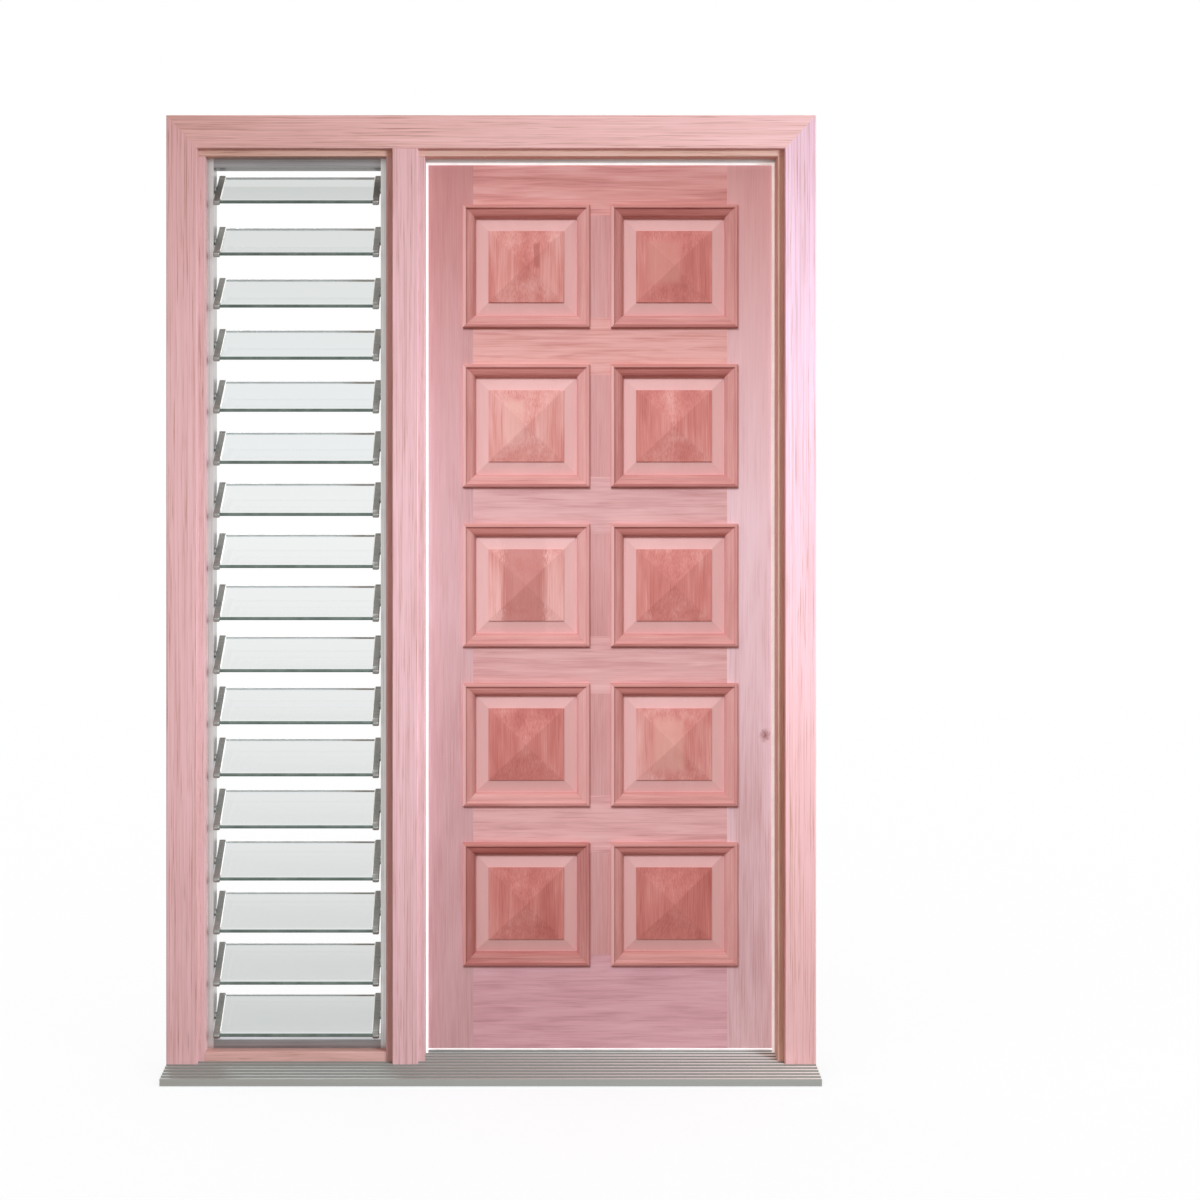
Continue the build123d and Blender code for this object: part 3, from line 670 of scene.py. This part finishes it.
@dataclass
class PanelLeaf:
    """The swinging leaf: framing, raised panels, and mitred mouldings on both faces. Sizes in millimetres.

    The framing is pinkest at the foot and the panels are the reddest wood. Tones of the mouldings' round,
    hollow and foot go by side: bottom, right, top and left. These tones are painted light and shade from the
    upper left, and the top sticks' redder, darker timber paints their shade.
    """

    rows: int = 5
    opening: tuple[float, float] = (242.0, 233.0)
    lap: float = 24.0
    reach: float = 5.0
    proud: float = 11.0
    bead: float = 3.5
    top_flat: float = 4.0
    quirk: float = 2.0
    cove: tuple[float, float] = (7.5, 4.0)
    fillet: tuple[float, float] = (1.5, 0.5)
    ovolo_drop: float = 13.5
    bed_depth: float = 14.3
    mitre_gap: float = 0.1
    stick: Timber = Timber("meranti_moulding", "BA7470", "DA9C98", "EAB6B3", Grain.STICK, 50, vessel=0.1)
    # The top sticks' darker, redder timber is a painted shade under their downward-facing hollows.
    shaded_top_stick: Timber = Timber("meranti_top_moulding", "A85C56", "CC847E", "DC9E9A", Grain.STICK, 51,
                               vessel=0.1)
    # Painted light and shade on the mouldings' round, hollow and foot, by side: bottom, right, top and left.
    round_painted_light: tuple[float, ...] = (-0.16, 0.0, 0.18, 0.26)
    hollow_painted_light: tuple[float, ...] = (0.0, 0.04, -0.05, -0.08)
    foot_painted_light: tuple[float, ...] = (0.0, 0.2, 0.3, 0.3)
    framing: dict[str, Timber] = field(default_factory=lambda: {
        "lock_stile": Timber("meranti_lock_stile", "C08A8C", "DAAEB2", "E8C4CA", seed=11, tone=-0.06,
                             lean=0.06, vessel=0.1, tint=("EACAC2", 1250.0, 2080.0)),
        "hinge_stile": Timber("meranti_hinge_stile", "CC9899", "ECC8CE", "F4D4DB", seed=12, tone=-0.12,
                              lean=0.12, vessel=0.1, tint=("EACAC2", 1250.0, 2080.0), knot=(0.6246, 0.7556)),
        "top_rail": Timber("meranti_top_rail", "C07A76", "E09D99", "EEB9B7", Grain.LEVEL, 13, figure=1.0,
                           vessel=0.1, figure_mm=(16.0, 16.0, 260.0)),
        "cross_rail_1": Timber("meranti_cross_rail_1", "CC8680", "E4A9A4", "F0BDB9", Grain.LEVEL, 14,
                               **RAIL_GRAIN),
        "cross_rail_2": Timber("meranti_cross_rail_2", "C88E8E", "DFACAD", "ECBEBF", Grain.LEVEL, 15,
                               **RAIL_GRAIN),
        "cross_rail_3": Timber("meranti_cross_rail_3", "C88A8A", "DFA9A9", "ECBDBC", Grain.LEVEL, 16,
                               **RAIL_GRAIN),
        "cross_rail_4": Timber("meranti_cross_rail_4", "CA9090", "EAB3B4", "F2C3C3", Grain.LEVEL, 17,
                               **RAIL_GRAIN),
        "bottom_rail": Timber("meranti_bottom_rail", "C48E96", "E0ABB5", "ECC0C8", Grain.LEVEL, 18,
                              **{**RAIL_GRAIN, "figure": 0.7}),
        "muntins": Timber("meranti_muntins", "BE8280", "D7A09F", "E6B6B8", seed=19, vessel=0.1),
    })
    border_width: float = 35.0
    panel_looks: dict[str, PanelLook] = field(default_factory=lambda: {
        "panel_1_left": PanelLook(0.04, -0.02, (24.0, 24.0, 7.0, 30.0), "B5665E"),
        "panel_1_right": PanelLook(-0.02, -0.08, (-25.0, 10.0, 40.0, 50.0), "D58F85"),
        "panel_2_left": PanelLook(0.16, 0.03, (-28.0, 15.0, 24.0, 45.0), "E8B3AA"),
        "panel_2_right": PanelLook(0.0, -0.1),
        "panel_3_left": PanelLook(0.24, 0.06, (-4.0, 0.0, 54.0, 150.0), "BE706A"),
        "panel_3_right": PanelLook(0.0, -0.04),
        "panel_4_left": PanelLook(-0.06, 0.1),
        "panel_4_right": PanelLook(0.08, -0.02, (-12.0, 0.0, 36.0, 62.0), "E4A89E"),
        "panel_5_left": PanelLook(-0.06, -0.18),
        "panel_5_right": PanelLook(-0.08, 0.02),
    })

    def profile(self) -> NDArray:
        """Section of the moulding: outer round, flat, quirk, hollow cove, fillet and swelling ovolo.

        Returns:
            Points of (outward from the opening's edge, proud of the leaf's face), in metres.
        """
        flat = self.lap - self.bead
        step = flat - self.top_flat
        hollow = self.proud - self.quirk
        cove_end = step - self.cove[0]
        cove_foot = hollow - self.cove[1]
        swell = cove_end - self.fillet[0]
        swell_top = cove_foot - self.fillet[1]
        foot = swell_top - self.ovolo_drop
        parts = [
            [(self.lap, 0.0)],
            arc((flat, self.proud - self.bead), (self.bead, self.bead), 0, 90, 7),
            [(step, self.proud)],
            arc((cove_end, hollow), (self.cove[0], -self.cove[1]), 0, 90, 9),
            [(swell, cove_foot)],
            arc((swell, foot), (swell + self.reach, self.ovolo_drop), 90, 180, 13),
            [(-self.reach, -self.bed_depth), (0.0, -self.bed_depth), (0.0, 0.0)],
        ]
        return np.concatenate([np.asarray(part, float) for part in parts]) * MM

    def moulding(self, name: str, node: str, face: Face, materials: list[Material]) -> None:
        """Build the ten moulding frames of one face as forty mitred sticks, the top ones of a redder, darker
        timber that paints their shade.

        A stick's point lies at the opening's middle, plus the half length and the outward distance along the
        stick, plus the half width and the same distance across it, plus the proud height off the face.

        Args:
            name: Name of the new piece.
            node: CAD node that it replaces.
            face: Face of the leaf that carries it.
            materials: Timber of the sticks, and of the top sticks with their painted shade.
        """
        section = self.profile()
        low, high = (np.array(corner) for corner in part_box(node))
        half = np.array(self.opening) / 2 * MM
        edge = half + self.lap * MM
        columns = np.array([low[0] + edge[0], high[0] - edge[0]])
        heights = np.linspace(high[2] - edge[1], low[2] + edge[1], self.rows)
        plane = low[1] + self.proud * MM if face is Face.OUTER else high[1] - self.proud * MM
        across, up = (grid.ravel() for grid in np.meshgrid(columns, heights))
        middle = np.column_stack([across, np.full(across.size, plane), up])
        along = np.array([(1, 0, 0), (0, 0, 1), (-1, 0, 0), (0, 0, -1)], float)
        away = np.array([(0, 0, -1), (1, 0, 0), (0, 0, 1), (-1, 0, 0)], float)
        length = np.array([half[0], half[1], half[0], half[1]])
        width = np.array([half[1], half[0], half[1], half[0]])
        ends = np.array([-1.0, 1.0])
        run = ends[None, :, None] * (length[:, None, None] + section[:, 0] - self.mitre_gap * MM)
        reach = np.broadcast_to(width[:, None, None] + section[:, 0], run.shape)
        frames = run[..., None] * along[:, None, None] + reach[..., None] * away[:, None, None]
        frames = frames + face.value * section[:, 1][None, None, :, None] * np.array([0.0, 1.0, 0.0])
        points = middle[:, None, None, None] + frames[None]
        sticks = len(middle) * len(along)
        ring = len(section)
        faces = [side for i in range(sticks) for side in tube_faces(ring, 2, i * 2 * ring)]
        piece = add_piece(name, points.reshape(-1, 3), faces, materials, LEAF_BODY,
                          (node,))
        # The top sticks take the second timber, which paints their shade.
        timbers = np.repeat(np.tile([0, 0, 1, 0], len(middle)), ring + 2)
        piece.data.polygons.foreach_set("material_index", timbers)
        spread = np.arange(sticks)[:, None, None]
        runs = np.broadcast_to(np.tile(run, (len(middle), 1, 1)), (sticks, 2, ring))
        grain = np.stack([
            np.broadcast_to(section[:, 0], runs.shape) + STICK_STEP[0] * spread,
            np.broadcast_to(section[:, 1], runs.shape) + STICK_STEP[1] * spread,
            runs + STICK_STEP[2] * spread,
        ], axis=-1)
        values = piece.data.attributes.new("board", "FLOAT_VECTOR", "POINT")
        values.data.foreach_set("vector", grain.ravel())
        tones = np.array([look.sticks for look in self.panel_looks.values()])
        # Painted light: each side's round, hollow and foot are made lighter or darker as a lamp at the upper
        # left would light them.
        zones = np.repeat([0, 1, 2], [ROUND_POINTS, ring - ROUND_POINTS - FOOT_POINTS, FOOT_POINTS])
        edges = np.array([self.round_painted_light, self.hollow_painted_light, self.foot_painted_light])[zones].T
        tones = tones[:, None, None, None] + edges[None, :, None]
        tones = np.broadcast_to(tones, (len(middle), len(along), 2, ring))
        values = piece.data.attributes.new("tone", "FLOAT", "POINT")
        values.data.foreach_set("value", tones.ravel())

    def finish(self) -> None:
        """Dress the framing and the panels, and build both sets of mouldings."""
        for node, timber in self.framing.items():
            dress(node, timber.material())
        half = np.array(self.opening) / 2 * MM - self.border_width * MM
        for seed, (node, look) in enumerate(self.panel_looks.items(), 30):
            low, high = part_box(node)
            middle = (low + high) / 2
            heart = None
            if look.heart:
                across, up, *sizes = (length * MM for length in look.heart)
                heart = (middle.x + across, middle.z + up, *sizes)
            dress(node, Timber(
                f"meranti_{node}", "B66059", "D4857E", "F0B8B3", seed=seed, tone=look.tone, drift=0.45,
                fibre=0.45, figure=0.5, vessel=0.2, figure_mm=(80.0, 12.0, 220.0),
                field_box=(middle.x, middle.z, *half), heart_box=heart, heart_colour=look.heart_colour,
            ).material())
        sticks = [self.stick.material(), self.shaded_top_stick.material()]
        self.moulding("front_moulding_sticks", "front_mouldings", Face.OUTER, sticks)
        self.moulding("back_moulding_sticks", "back_mouldings", Face.INNER, sticks)


class Side(Enum):
    """Side of the sidelight, with the direction across in which the blades lie from there."""

    LEFT = 1.0
    RIGHT = -1.0


@dataclass
class LouvreGallery:
    """Sidelight louvres: channels, tilted glass blades and their holders. Sizes in millimetres.

    The holders are duller than the channels, and each blade has a dark line along its lower edge.
    """

    blades: int = 17
    chord: float = 110.0
    thickness: float = 6.0
    tilt_degrees: float = 40.0
    edge_round: float = 2.0
    edge_seen: float = 3.5
    channel: DrawnMetal = DrawnMetal("anodised_aluminium_channel", "DEDCDA", "B8B5B3")
    cross_channel: DrawnMetal = DrawnMetal("anodised_aluminium_cross_channel", "A8A4A4", "827E7E",
                                           grain=Grain.LEVEL)
    holder_width: float = 14.0
    holder_lip: float = 1.6
    holder_back: float = 2.0
    holder_round: float = 1.2
    pivot: float = 3.0
    glass_gap: float = 0.2
    boot_corner: tuple[float, float] = (4.9, 3.0)
    boot_round: float = 2.5
    boss_radius: float = 8.0
    strip_section: tuple[tuple[float, float], ...] = ((-0.8, -0.2), (1.8, -0.2), (1.8, 0.4), (-0.8, 0.8))
    holder: DrawnMetal = DrawnMetal("die_cast_holder", "B2B1AC", "8E8D88", 0.5, Grain.LEVEL)
    # The soft strip is pale and glows: a painted highlight for the bright end of the glass beside the holder.
    soft_strip: SoftSeal = SoftSeal("pale_rubber_strip", "F6F6F4", "E8E8E6", glow=0.4)
    # The glass's front colour is a painted highlight along each blade's lower edge, and its stack of tints is
    # a painted shade.
    glass: FloatGlass = FloatGlass("clear_float_glass", "FCFDFD", (
        (80.0, "E8EAE9"), (500.0, "F1F2F2"), (1200.0, "F8F9F9"), (1600.0, "F3F5F5"), (2000.0, "EAECEB")))
    low_edge: SoftSeal = SoftSeal("ground_glass_low_edge", "6C7D76", "55665F", 0.2)
    # The high edge is a much paler copy of the edge glass: a painted highlight.
    high_edge: SoftSeal = SoftSeal("ground_glass_high_edge", "DCE1DF", "CDD3D0", 0.2)

    def section(self) -> NDArray:
        """Section of a blade: a flat strip with both long edges ground round.

        One more point marks how far the low edge shows through the upper face.

        Returns:
            Points of (along the chord, through the thickness), in metres.
        """
        half = self.chord / 2 - self.edge_round
        rise = self.thickness / 2
        front = arc((-half, 0), (self.edge_round, rise), 270, 90, 9)
        seen = [(self.edge_seen - half, rise)]
        back = arc((half, 0), (self.edge_round, rise), 90, -90, 9)
        return np.concatenate([front, seen, back]) * MM

    def places(self) -> tuple[NDArray, float]:
        """Heights of the blades' middles, evenly spaced between the lowest and the highest, and their depth.

        Returns:
            The heights and the depth in metres.
        """
        low, high = (np.array(corner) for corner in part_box("louvre_blades"))
        tilt = math.radians(self.tilt_degrees)
        flat = math.hypot(self.chord / 2 - self.edge_round, self.thickness / 2 - self.edge_round)
        lean = math.atan2(self.thickness / 2 - self.edge_round, self.chord / 2 - self.edge_round)
        margin = (flat * math.sin(tilt + lean) + self.edge_round) * MM
        return np.linspace(low[2] + margin, high[2] - margin, self.blades), (low[1] + high[1]) / 2

    def glass_blades(self) -> None:
        """Build the blades: the section turned by the tilt and carried from end to end at each height."""
        low, high = (np.array(corner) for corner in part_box("louvre_blades"))
        section = self.section()
        tilt = math.radians(self.tilt_degrees)
        turn = np.array([(math.cos(tilt), math.sin(tilt)), (-math.sin(tilt), math.cos(tilt))])
        tilted = section @ turn
        heights, depth = self.places()
        ends = np.array([low[0], high[0]])
        shape = (self.blades, 2, len(section))
        points = np.stack([
            np.broadcast_to(ends[None, :, None], shape),
            np.broadcast_to(depth + tilted[:, 0], shape),
            heights[:, None, None] + np.broadcast_to(tilted[:, 1], shape),
        ], axis=-1)
        ring = len(section)
        faces = [side for i in range(self.blades) for side in tube_faces(ring, 2, i * 2 * ring)]
        materials = [self.glass.material(), self.low_edge.material(), self.high_edge.material()]
        piece = add_piece("louvre_glass", points.reshape(-1, 3), faces, materials, FRAME_BODY,
                          ("louvre_blades",))
        chord = np.broadcast_to(section[:, 0] / (self.chord * MM) + 0.5, shape)
        values = piece.data.attributes.new("chord", "FLOAT", "POINT")
        values.data.foreach_set("value", chord.ravel())
        on_edge = np.ones(ring + 2, int)
        on_edge[[9, ring - 1]] = 0
        on_edge[10:ring - 1] = 2
        piece.data.polygons.foreach_set("material_index", np.tile(on_edge, self.blades))

    def holder_shapes(self) -> list[tuple[NDArray, int]]:
        """Shapes of one holder about its blade's middle.

        Each shape is a closed outline carried along an axis, with a scale at each station: the lipped body,
        the rounded boot over the low edge, the heel over the high edge, the pivot boss, and a soft strip on
        each side of the glass, pale and glowing, which paints the highlight at the glass's end.

        Returns:
            Points of (inwards from the holder's back, along the chord, through the thickness) for each
            station and outline point, in metres, with the number of the material.
        """
        width, back, soft, edge = self.holder_width, self.holder_back, self.holder_round, self.chord / 2
        gap = self.thickness / 2 + self.glass_gap
        depth = gap + self.holder_lip
        body = np.concatenate([
            arc((soft, soft - depth), (soft, soft), 180, 270, 5),
            [(width, -depth), (width, -gap), (back, -gap)],
            [(back, gap), (width, gap), (width, depth)],
            arc((soft, depth - soft), (soft, soft), 90, 180, 5),
        ])
        aside, above = self.boot_corner
        radii = (self.boot_round, self.boot_round)
        corners = ((1, 1, 0), (-1, 1, 90), (-1, -1, 180), (1, -1, 270))
        boot = np.concatenate([
            arc((right * aside, up * above), radii, first, first + 90, 6) for right, up, first in corners
        ])
        boss = arc((0.0, 0.0), (self.boss_radius, self.boss_radius), 0, 345, 24)
        strip = np.array(self.strip_section) + (width, gap)
        middle, origin = (width / 2, 0.0), (0.0, 0.0)
        # Stations along each sweep, with the outline's scale there: the ends draw in to look rounded.
        body_run = ((10 - edge, 1.0), (edge + 1.7, 1.0))
        boot_run = ((-edge - 3.0, 0.62), (-edge - 2.5, 0.84), (-edge - 1.4, 0.97), (-edge, 1.0),
                    (11 - edge, 1.0), (13 - edge, 0.88))
        heel_run = ((edge - 4, 0.88), (edge - 3, 0.96), (edge + 1.5, 0.96), (edge + 2.2, 0.86))
        boss_run = ((0.5, 1.0), (-2.5, 1.0), (-3.0, 0.94))
        strip_run = ((12 - edge, 1.0), (edge - 3, 1.0))
        sweeps = (
            (body, origin, 1, body_run, 0),
            (boot, middle, 1, boot_run, 0),
            (boot, middle, 1, heel_run, 0),
            (boss, origin, 0, boss_run, 0),
            (strip, origin, 1, strip_run, 1),
            (strip * (1, -1), origin, 1, strip_run, 1),
        )
        shapes = []
        for outline, centre, axis, stations, finish in sweeps:
            places, scales = np.array(stations).T
            rings = np.asarray(outline) * scales[:, None, None] + np.array(centre)
            along = np.broadcast_to(places[:, None], rings.shape[:2])
            order = (rings[..., 0], along, rings[..., 1]) if axis else (along, rings[..., 0], rings[..., 1])
            shapes.append((np.stack(order, axis=-1) * MM, finish))
        return shapes

    def holders(self, side: Side, materials: list[Material]) -> None:
        """Build the holders of one side: the holder's shapes turned by the tilt, at each blade's height.

        Args:
            side: Side of the sidelight.
            materials: Metal and soft strip.
        """
        name = side.name.lower()
        node = f"louvre_{name}_clips"
        low, high = (np.array(corner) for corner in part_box(node))
        back = low[0] + self.pivot * MM if side is Side.LEFT else high[0] - self.pivot * MM
        tilt = math.radians(self.tilt_degrees)
        heights, depth = self.places()
        points, faces, finishes = [], [], []
        count = 0
        for shape, finish in self.holder_shapes():
            inwards, chord, through = np.moveaxis(shape, -1, 0)
            turned = np.stack([
                back + side.value * inwards,
                depth + chord * math.cos(tilt) - through * math.sin(tilt),
                chord * math.sin(tilt) + through * math.cos(tilt),
            ], axis=-1)
            stations, ring = shape.shape[:2]
            for height in heights:
                points.append((turned + (0.0, 0.0, height)).reshape(-1, 3))
                faces += tube_faces(ring, stations, count)
                count += ring * stations
            finishes += [finish] * (len(heights) * (ring * (stations - 1) + 2))
        piece = add_piece(f"{name}_blade_holders", np.concatenate(points), faces, materials, FRAME_BODY,
                          (node,))
        piece.data.polygons.foreach_set("material_index", finishes)

    def finish(self) -> None:
        """Dress the channels, and build the glass and its holders."""
        channel = self.channel.material()
        cross_channel = self.cross_channel.material()
        holder = [self.holder.material(), self.soft_strip.material()]
        dress("louvre_left_channel", channel)
        dress("louvre_right_channel", channel)
        dress("louvre_sill_channel", cross_channel)
        dress("louvre_head_channel", cross_channel)
        self.glass_blades()
        self.holders(Side.LEFT, holder)
        self.holders(Side.RIGHT, holder)


@dataclass
class SillAndSeals:
    """Ribbed aluminium sill, the strip over the leaf and the pale seals."""

    # The rib tops' bright colour is a painted highlight, and the darker valleys are a painted shade.
    sill: RibbedMetal = RibbedMetal("mill_finish_aluminium_sill", "ABADA8", "888B88", "ABAEAB", "FAFCFA",
                                    front_mm=-91.0, pitch_mm=136 / 9, crest_mm=7.0, glint_mm=(-200.0, 600.0))
    bar: DrawnMetal = DrawnMetal("anodised_aluminium_bar", "DCDAD8", "BAB7B5", 0.4, Grain.LEVEL)
    # The seals glow: a painted light that keeps them bright in their shaded gaps.
    seal: SoftSeal = SoftSeal("pale_silicone_seal", "FBF7F6", "F0EAEA", glow=0.45)

    def finish(self) -> None:
        """Dress the sill, the bar and the seals."""
        seal = self.seal.material()
        dress("aluminium_sill", self.sill.material())
        dress("head_weather_bar", self.bar.material())
        dress("door_seals", seal)
        dress("bottom_seal", seal)


@dataclass
class ButtHinges:
    """Three butt hinges at the back of the hinge stile."""

    steel: DrawnMetal = DrawnMetal("satin_steel", "C9C7C3", "A5A3A0", 0.35, Grain.UPRIGHT, 0.8)

    def finish(self) -> None:
        """Dress the plates and pins."""
        steel = self.steel.material()
        for node in ("hinge_frame_plates", "hinge_leaf_plates", "hinge_pins"):
            dress(node, steel)


@dataclass(frozen=True)
class SoftLamp:
    """A wide soft lamp and the bodies that it lights, which shade each other from it.

    The azimuth is in degrees to the right of the outer face's middle, as seen from the camera, and the
    elevation in degrees above the floor. The level is the light on a surface that faces the lamp, in watts a
    square metre.
    """

    name: str
    azimuth: float
    elevation: float
    level: float
    bodies: tuple[str, ...]


@dataclass
class Studio:
    """Pale floor, soft lamps and the camera of the photograph. Places in metres.

    In the photograph the leaf has its light from the upper left and the frame from the right, so each body
    has its own lamp, which lights and shades that body alone. The floor's seen colour is blue by as much as
    the surroundings are warm, so that its soft shadow looks neutral.
    """

    lens_mm: float = 52.9635
    shift: tuple[float, float] = (0.06897, -0.08798)
    camera_place: Three = (0.05858, -3.98353, 1.30529)
    floor_size: float = 14.0
    floor_glow: float = 0.755
    floor_bounce: str = "8C8C8C"
    floor_seen: str = "A7BECE"
    ambient: float = 0.62
    ambient_colour: str = "FFE2D0"
    lamp_colour: str = "E6F6FF"
    lamp_distance: float = 6.0
    lamp_radius: float = 1.1
    beam_degrees: float = 35.0
    lamps: tuple[SoftLamp, ...] = (
        SoftLamp("leaf_lamp", -15.0, 29.0, 2.85, (LEAF_BODY,)),
        SoftLamp("frame_lamp", 42.0, 13.0, 4.6, (FRAME_BODY,)),
        SoftLamp("back_lamp", 205.0, 35.0, 2.4, (LEAF_BODY, FRAME_BODY)),
    )
    aim: Three = (0.3, 0.0, 1.1)

    def world(self) -> None:
        """White surroundings for the camera, mirrors and glass, and a softer warm level for matt surfaces."""
        world = bpy.data.worlds.new("pale_studio")
        bpy.context.scene.world = world
        world.use_nodes = True
        tree = world.node_tree
        tree.nodes.clear()
        path = add_node(tree, "LightPath")
        seen = path.outputs["Is Camera Ray"]
        for name in ("Is Glossy Ray", "Is Transmission Ray"):
            either = add_node(tree, "Math", {"operation": "MAXIMUM"}, {0: seen, 1: path.outputs[name]})
            seen = either.outputs[0]
        warm = tuple(self.ambient * part for part in linear(self.ambient_colour)[:3])
        colour = add_node(tree, "Mix", {
            "data_type": "RGBA", 6: (*warm, 1.0), 7: (1.0, 1.0, 1.0, 1.0),
        }, {0: seen})
        light = add_node(tree, "Background", {}, {"Color": colour.outputs[2]})
        add_node(tree, "OutputWorld", {}, {0: light.outputs[0]})

    def floor(self) -> None:
        """Flat pale floor that glows for the camera and mirrors, so that it is white with a soft shadow."""
        half = self.floor_size / 2
        mesh = bpy.data.meshes.new("studio_floor")
        corners = [(-half, -half, 0), (half, -half, 0), (half, half, 0), (-half, half, 0)]
        mesh.from_pydata(corners, [], [(0, 1, 2, 3)])
        material, tree = new_material("matt_white_floor")
        path = add_node(tree, "LightPath")
        seen = add_node(tree, "Math", {"operation": "MAXIMUM"},
                        {0: path.outputs["Is Camera Ray"], 1: path.outputs["Is Glossy Ray"]})
        glow = add_node(tree, "Math", {"operation": "MULTIPLY", 1: self.floor_glow}, {0: seen.outputs[0]})
        paint = add_node(tree, "Mix", {
            "data_type": "RGBA", 6: linear(self.floor_bounce), 7: linear(self.floor_seen),
        }, {0: seen.outputs[0]})
        shader = add_node(tree, "BsdfPrincipled", {
            "Roughness": 0.9, "Emission Color": (1.0, 1.0, 1.0, 1.0), "Specular IOR Level": 0.0,
        }, {"Base Color": paint.outputs[2], "Emission Strength": glow.outputs[0]})
        add_node(tree, "OutputMaterial", {}, {0: shader.outputs[0]})
        mesh.materials.append(material)
        floor = bpy.data.objects.new("studio_floor", mesh)
        bpy.context.scene.collection.objects.link(floor)

    def add_lamp(self, lamp: SoftLamp) -> None:
        """Add a lamp whose beam fades out past the door set.

        It stands on a sphere about the door set's middle. A point lamp of some power lights a surface with
        that power over the sphere's whole area, so the power is the wanted light times four pi times the
        distance squared.

        Args:
            lamp: Lamp to add.
        """
        light = bpy.data.lights.new(lamp.name, "SPOT")
        light.energy = lamp.level * 4 * math.pi * self.lamp_distance ** 2
        light.color = linear(self.lamp_colour)[:3]
        light.shadow_soft_size = self.lamp_radius
        light.spot_size = math.radians(self.beam_degrees)
        light.spot_blend = 1.0
        stand = bpy.data.objects.new(lamp.name, light)
        bpy.context.scene.collection.objects.link(stand)
        turn, rise = math.radians(lamp.azimuth), math.radians(lamp.elevation)
        aside = Vector((math.cos(rise) * math.sin(turn), -math.cos(rise) * math.cos(turn), math.sin(rise)))
        stand.location = Vector(self.aim) + self.lamp_distance * aside
        stand.rotation_euler = (math.pi / 2 - rise, 0.0, turn)
        lit = bpy.data.collections.new(f"lit_by_{lamp.name}")
        for body in lamp.bodies:
            for piece in frame["bodies"][body].children_recursive:
                lit.objects.link(piece)
        stand.light_linking.receiver_collection = lit
        stand.light_linking.blocker_collection = lit

    def camera(self) -> None:
        """Level camera in front of the door set, with the shift of the photograph's framing."""
        camera = bpy.data.objects.new("camera", bpy.data.cameras.new("camera"))
        bpy.context.scene.collection.objects.link(camera)
        camera.location = self.camera_place
        camera.rotation_euler = (math.pi / 2, 0.0, 0.0)
        camera.data.sensor_width = 36.0
        camera.data.lens = self.lens_mm
        camera.data.shift_x, camera.data.shift_y = self.shift
        bpy.context.scene.camera = camera

    def build(self) -> None:
        """Set up the studio round the finished pieces."""
        self.world()
        self.floor()
        for lamp in self.lamps:
            self.add_lamp(lamp)
        self.camera()
        bpy.context.scene.view_settings.view_transform = "Standard"


def main() -> None:
    """Dress the frame and the leaf, build the new pieces and set up the studio."""
    logging.basicConfig(level=logging.INFO, format="%(message)s")
    FrameTimbers().finish()
    PanelLeaf().finish()
    LouvreGallery().finish()
    SillAndSeals().finish()
    ButtHinges().finish()
    Studio().build()


if __name__ == "__main__":
    main()
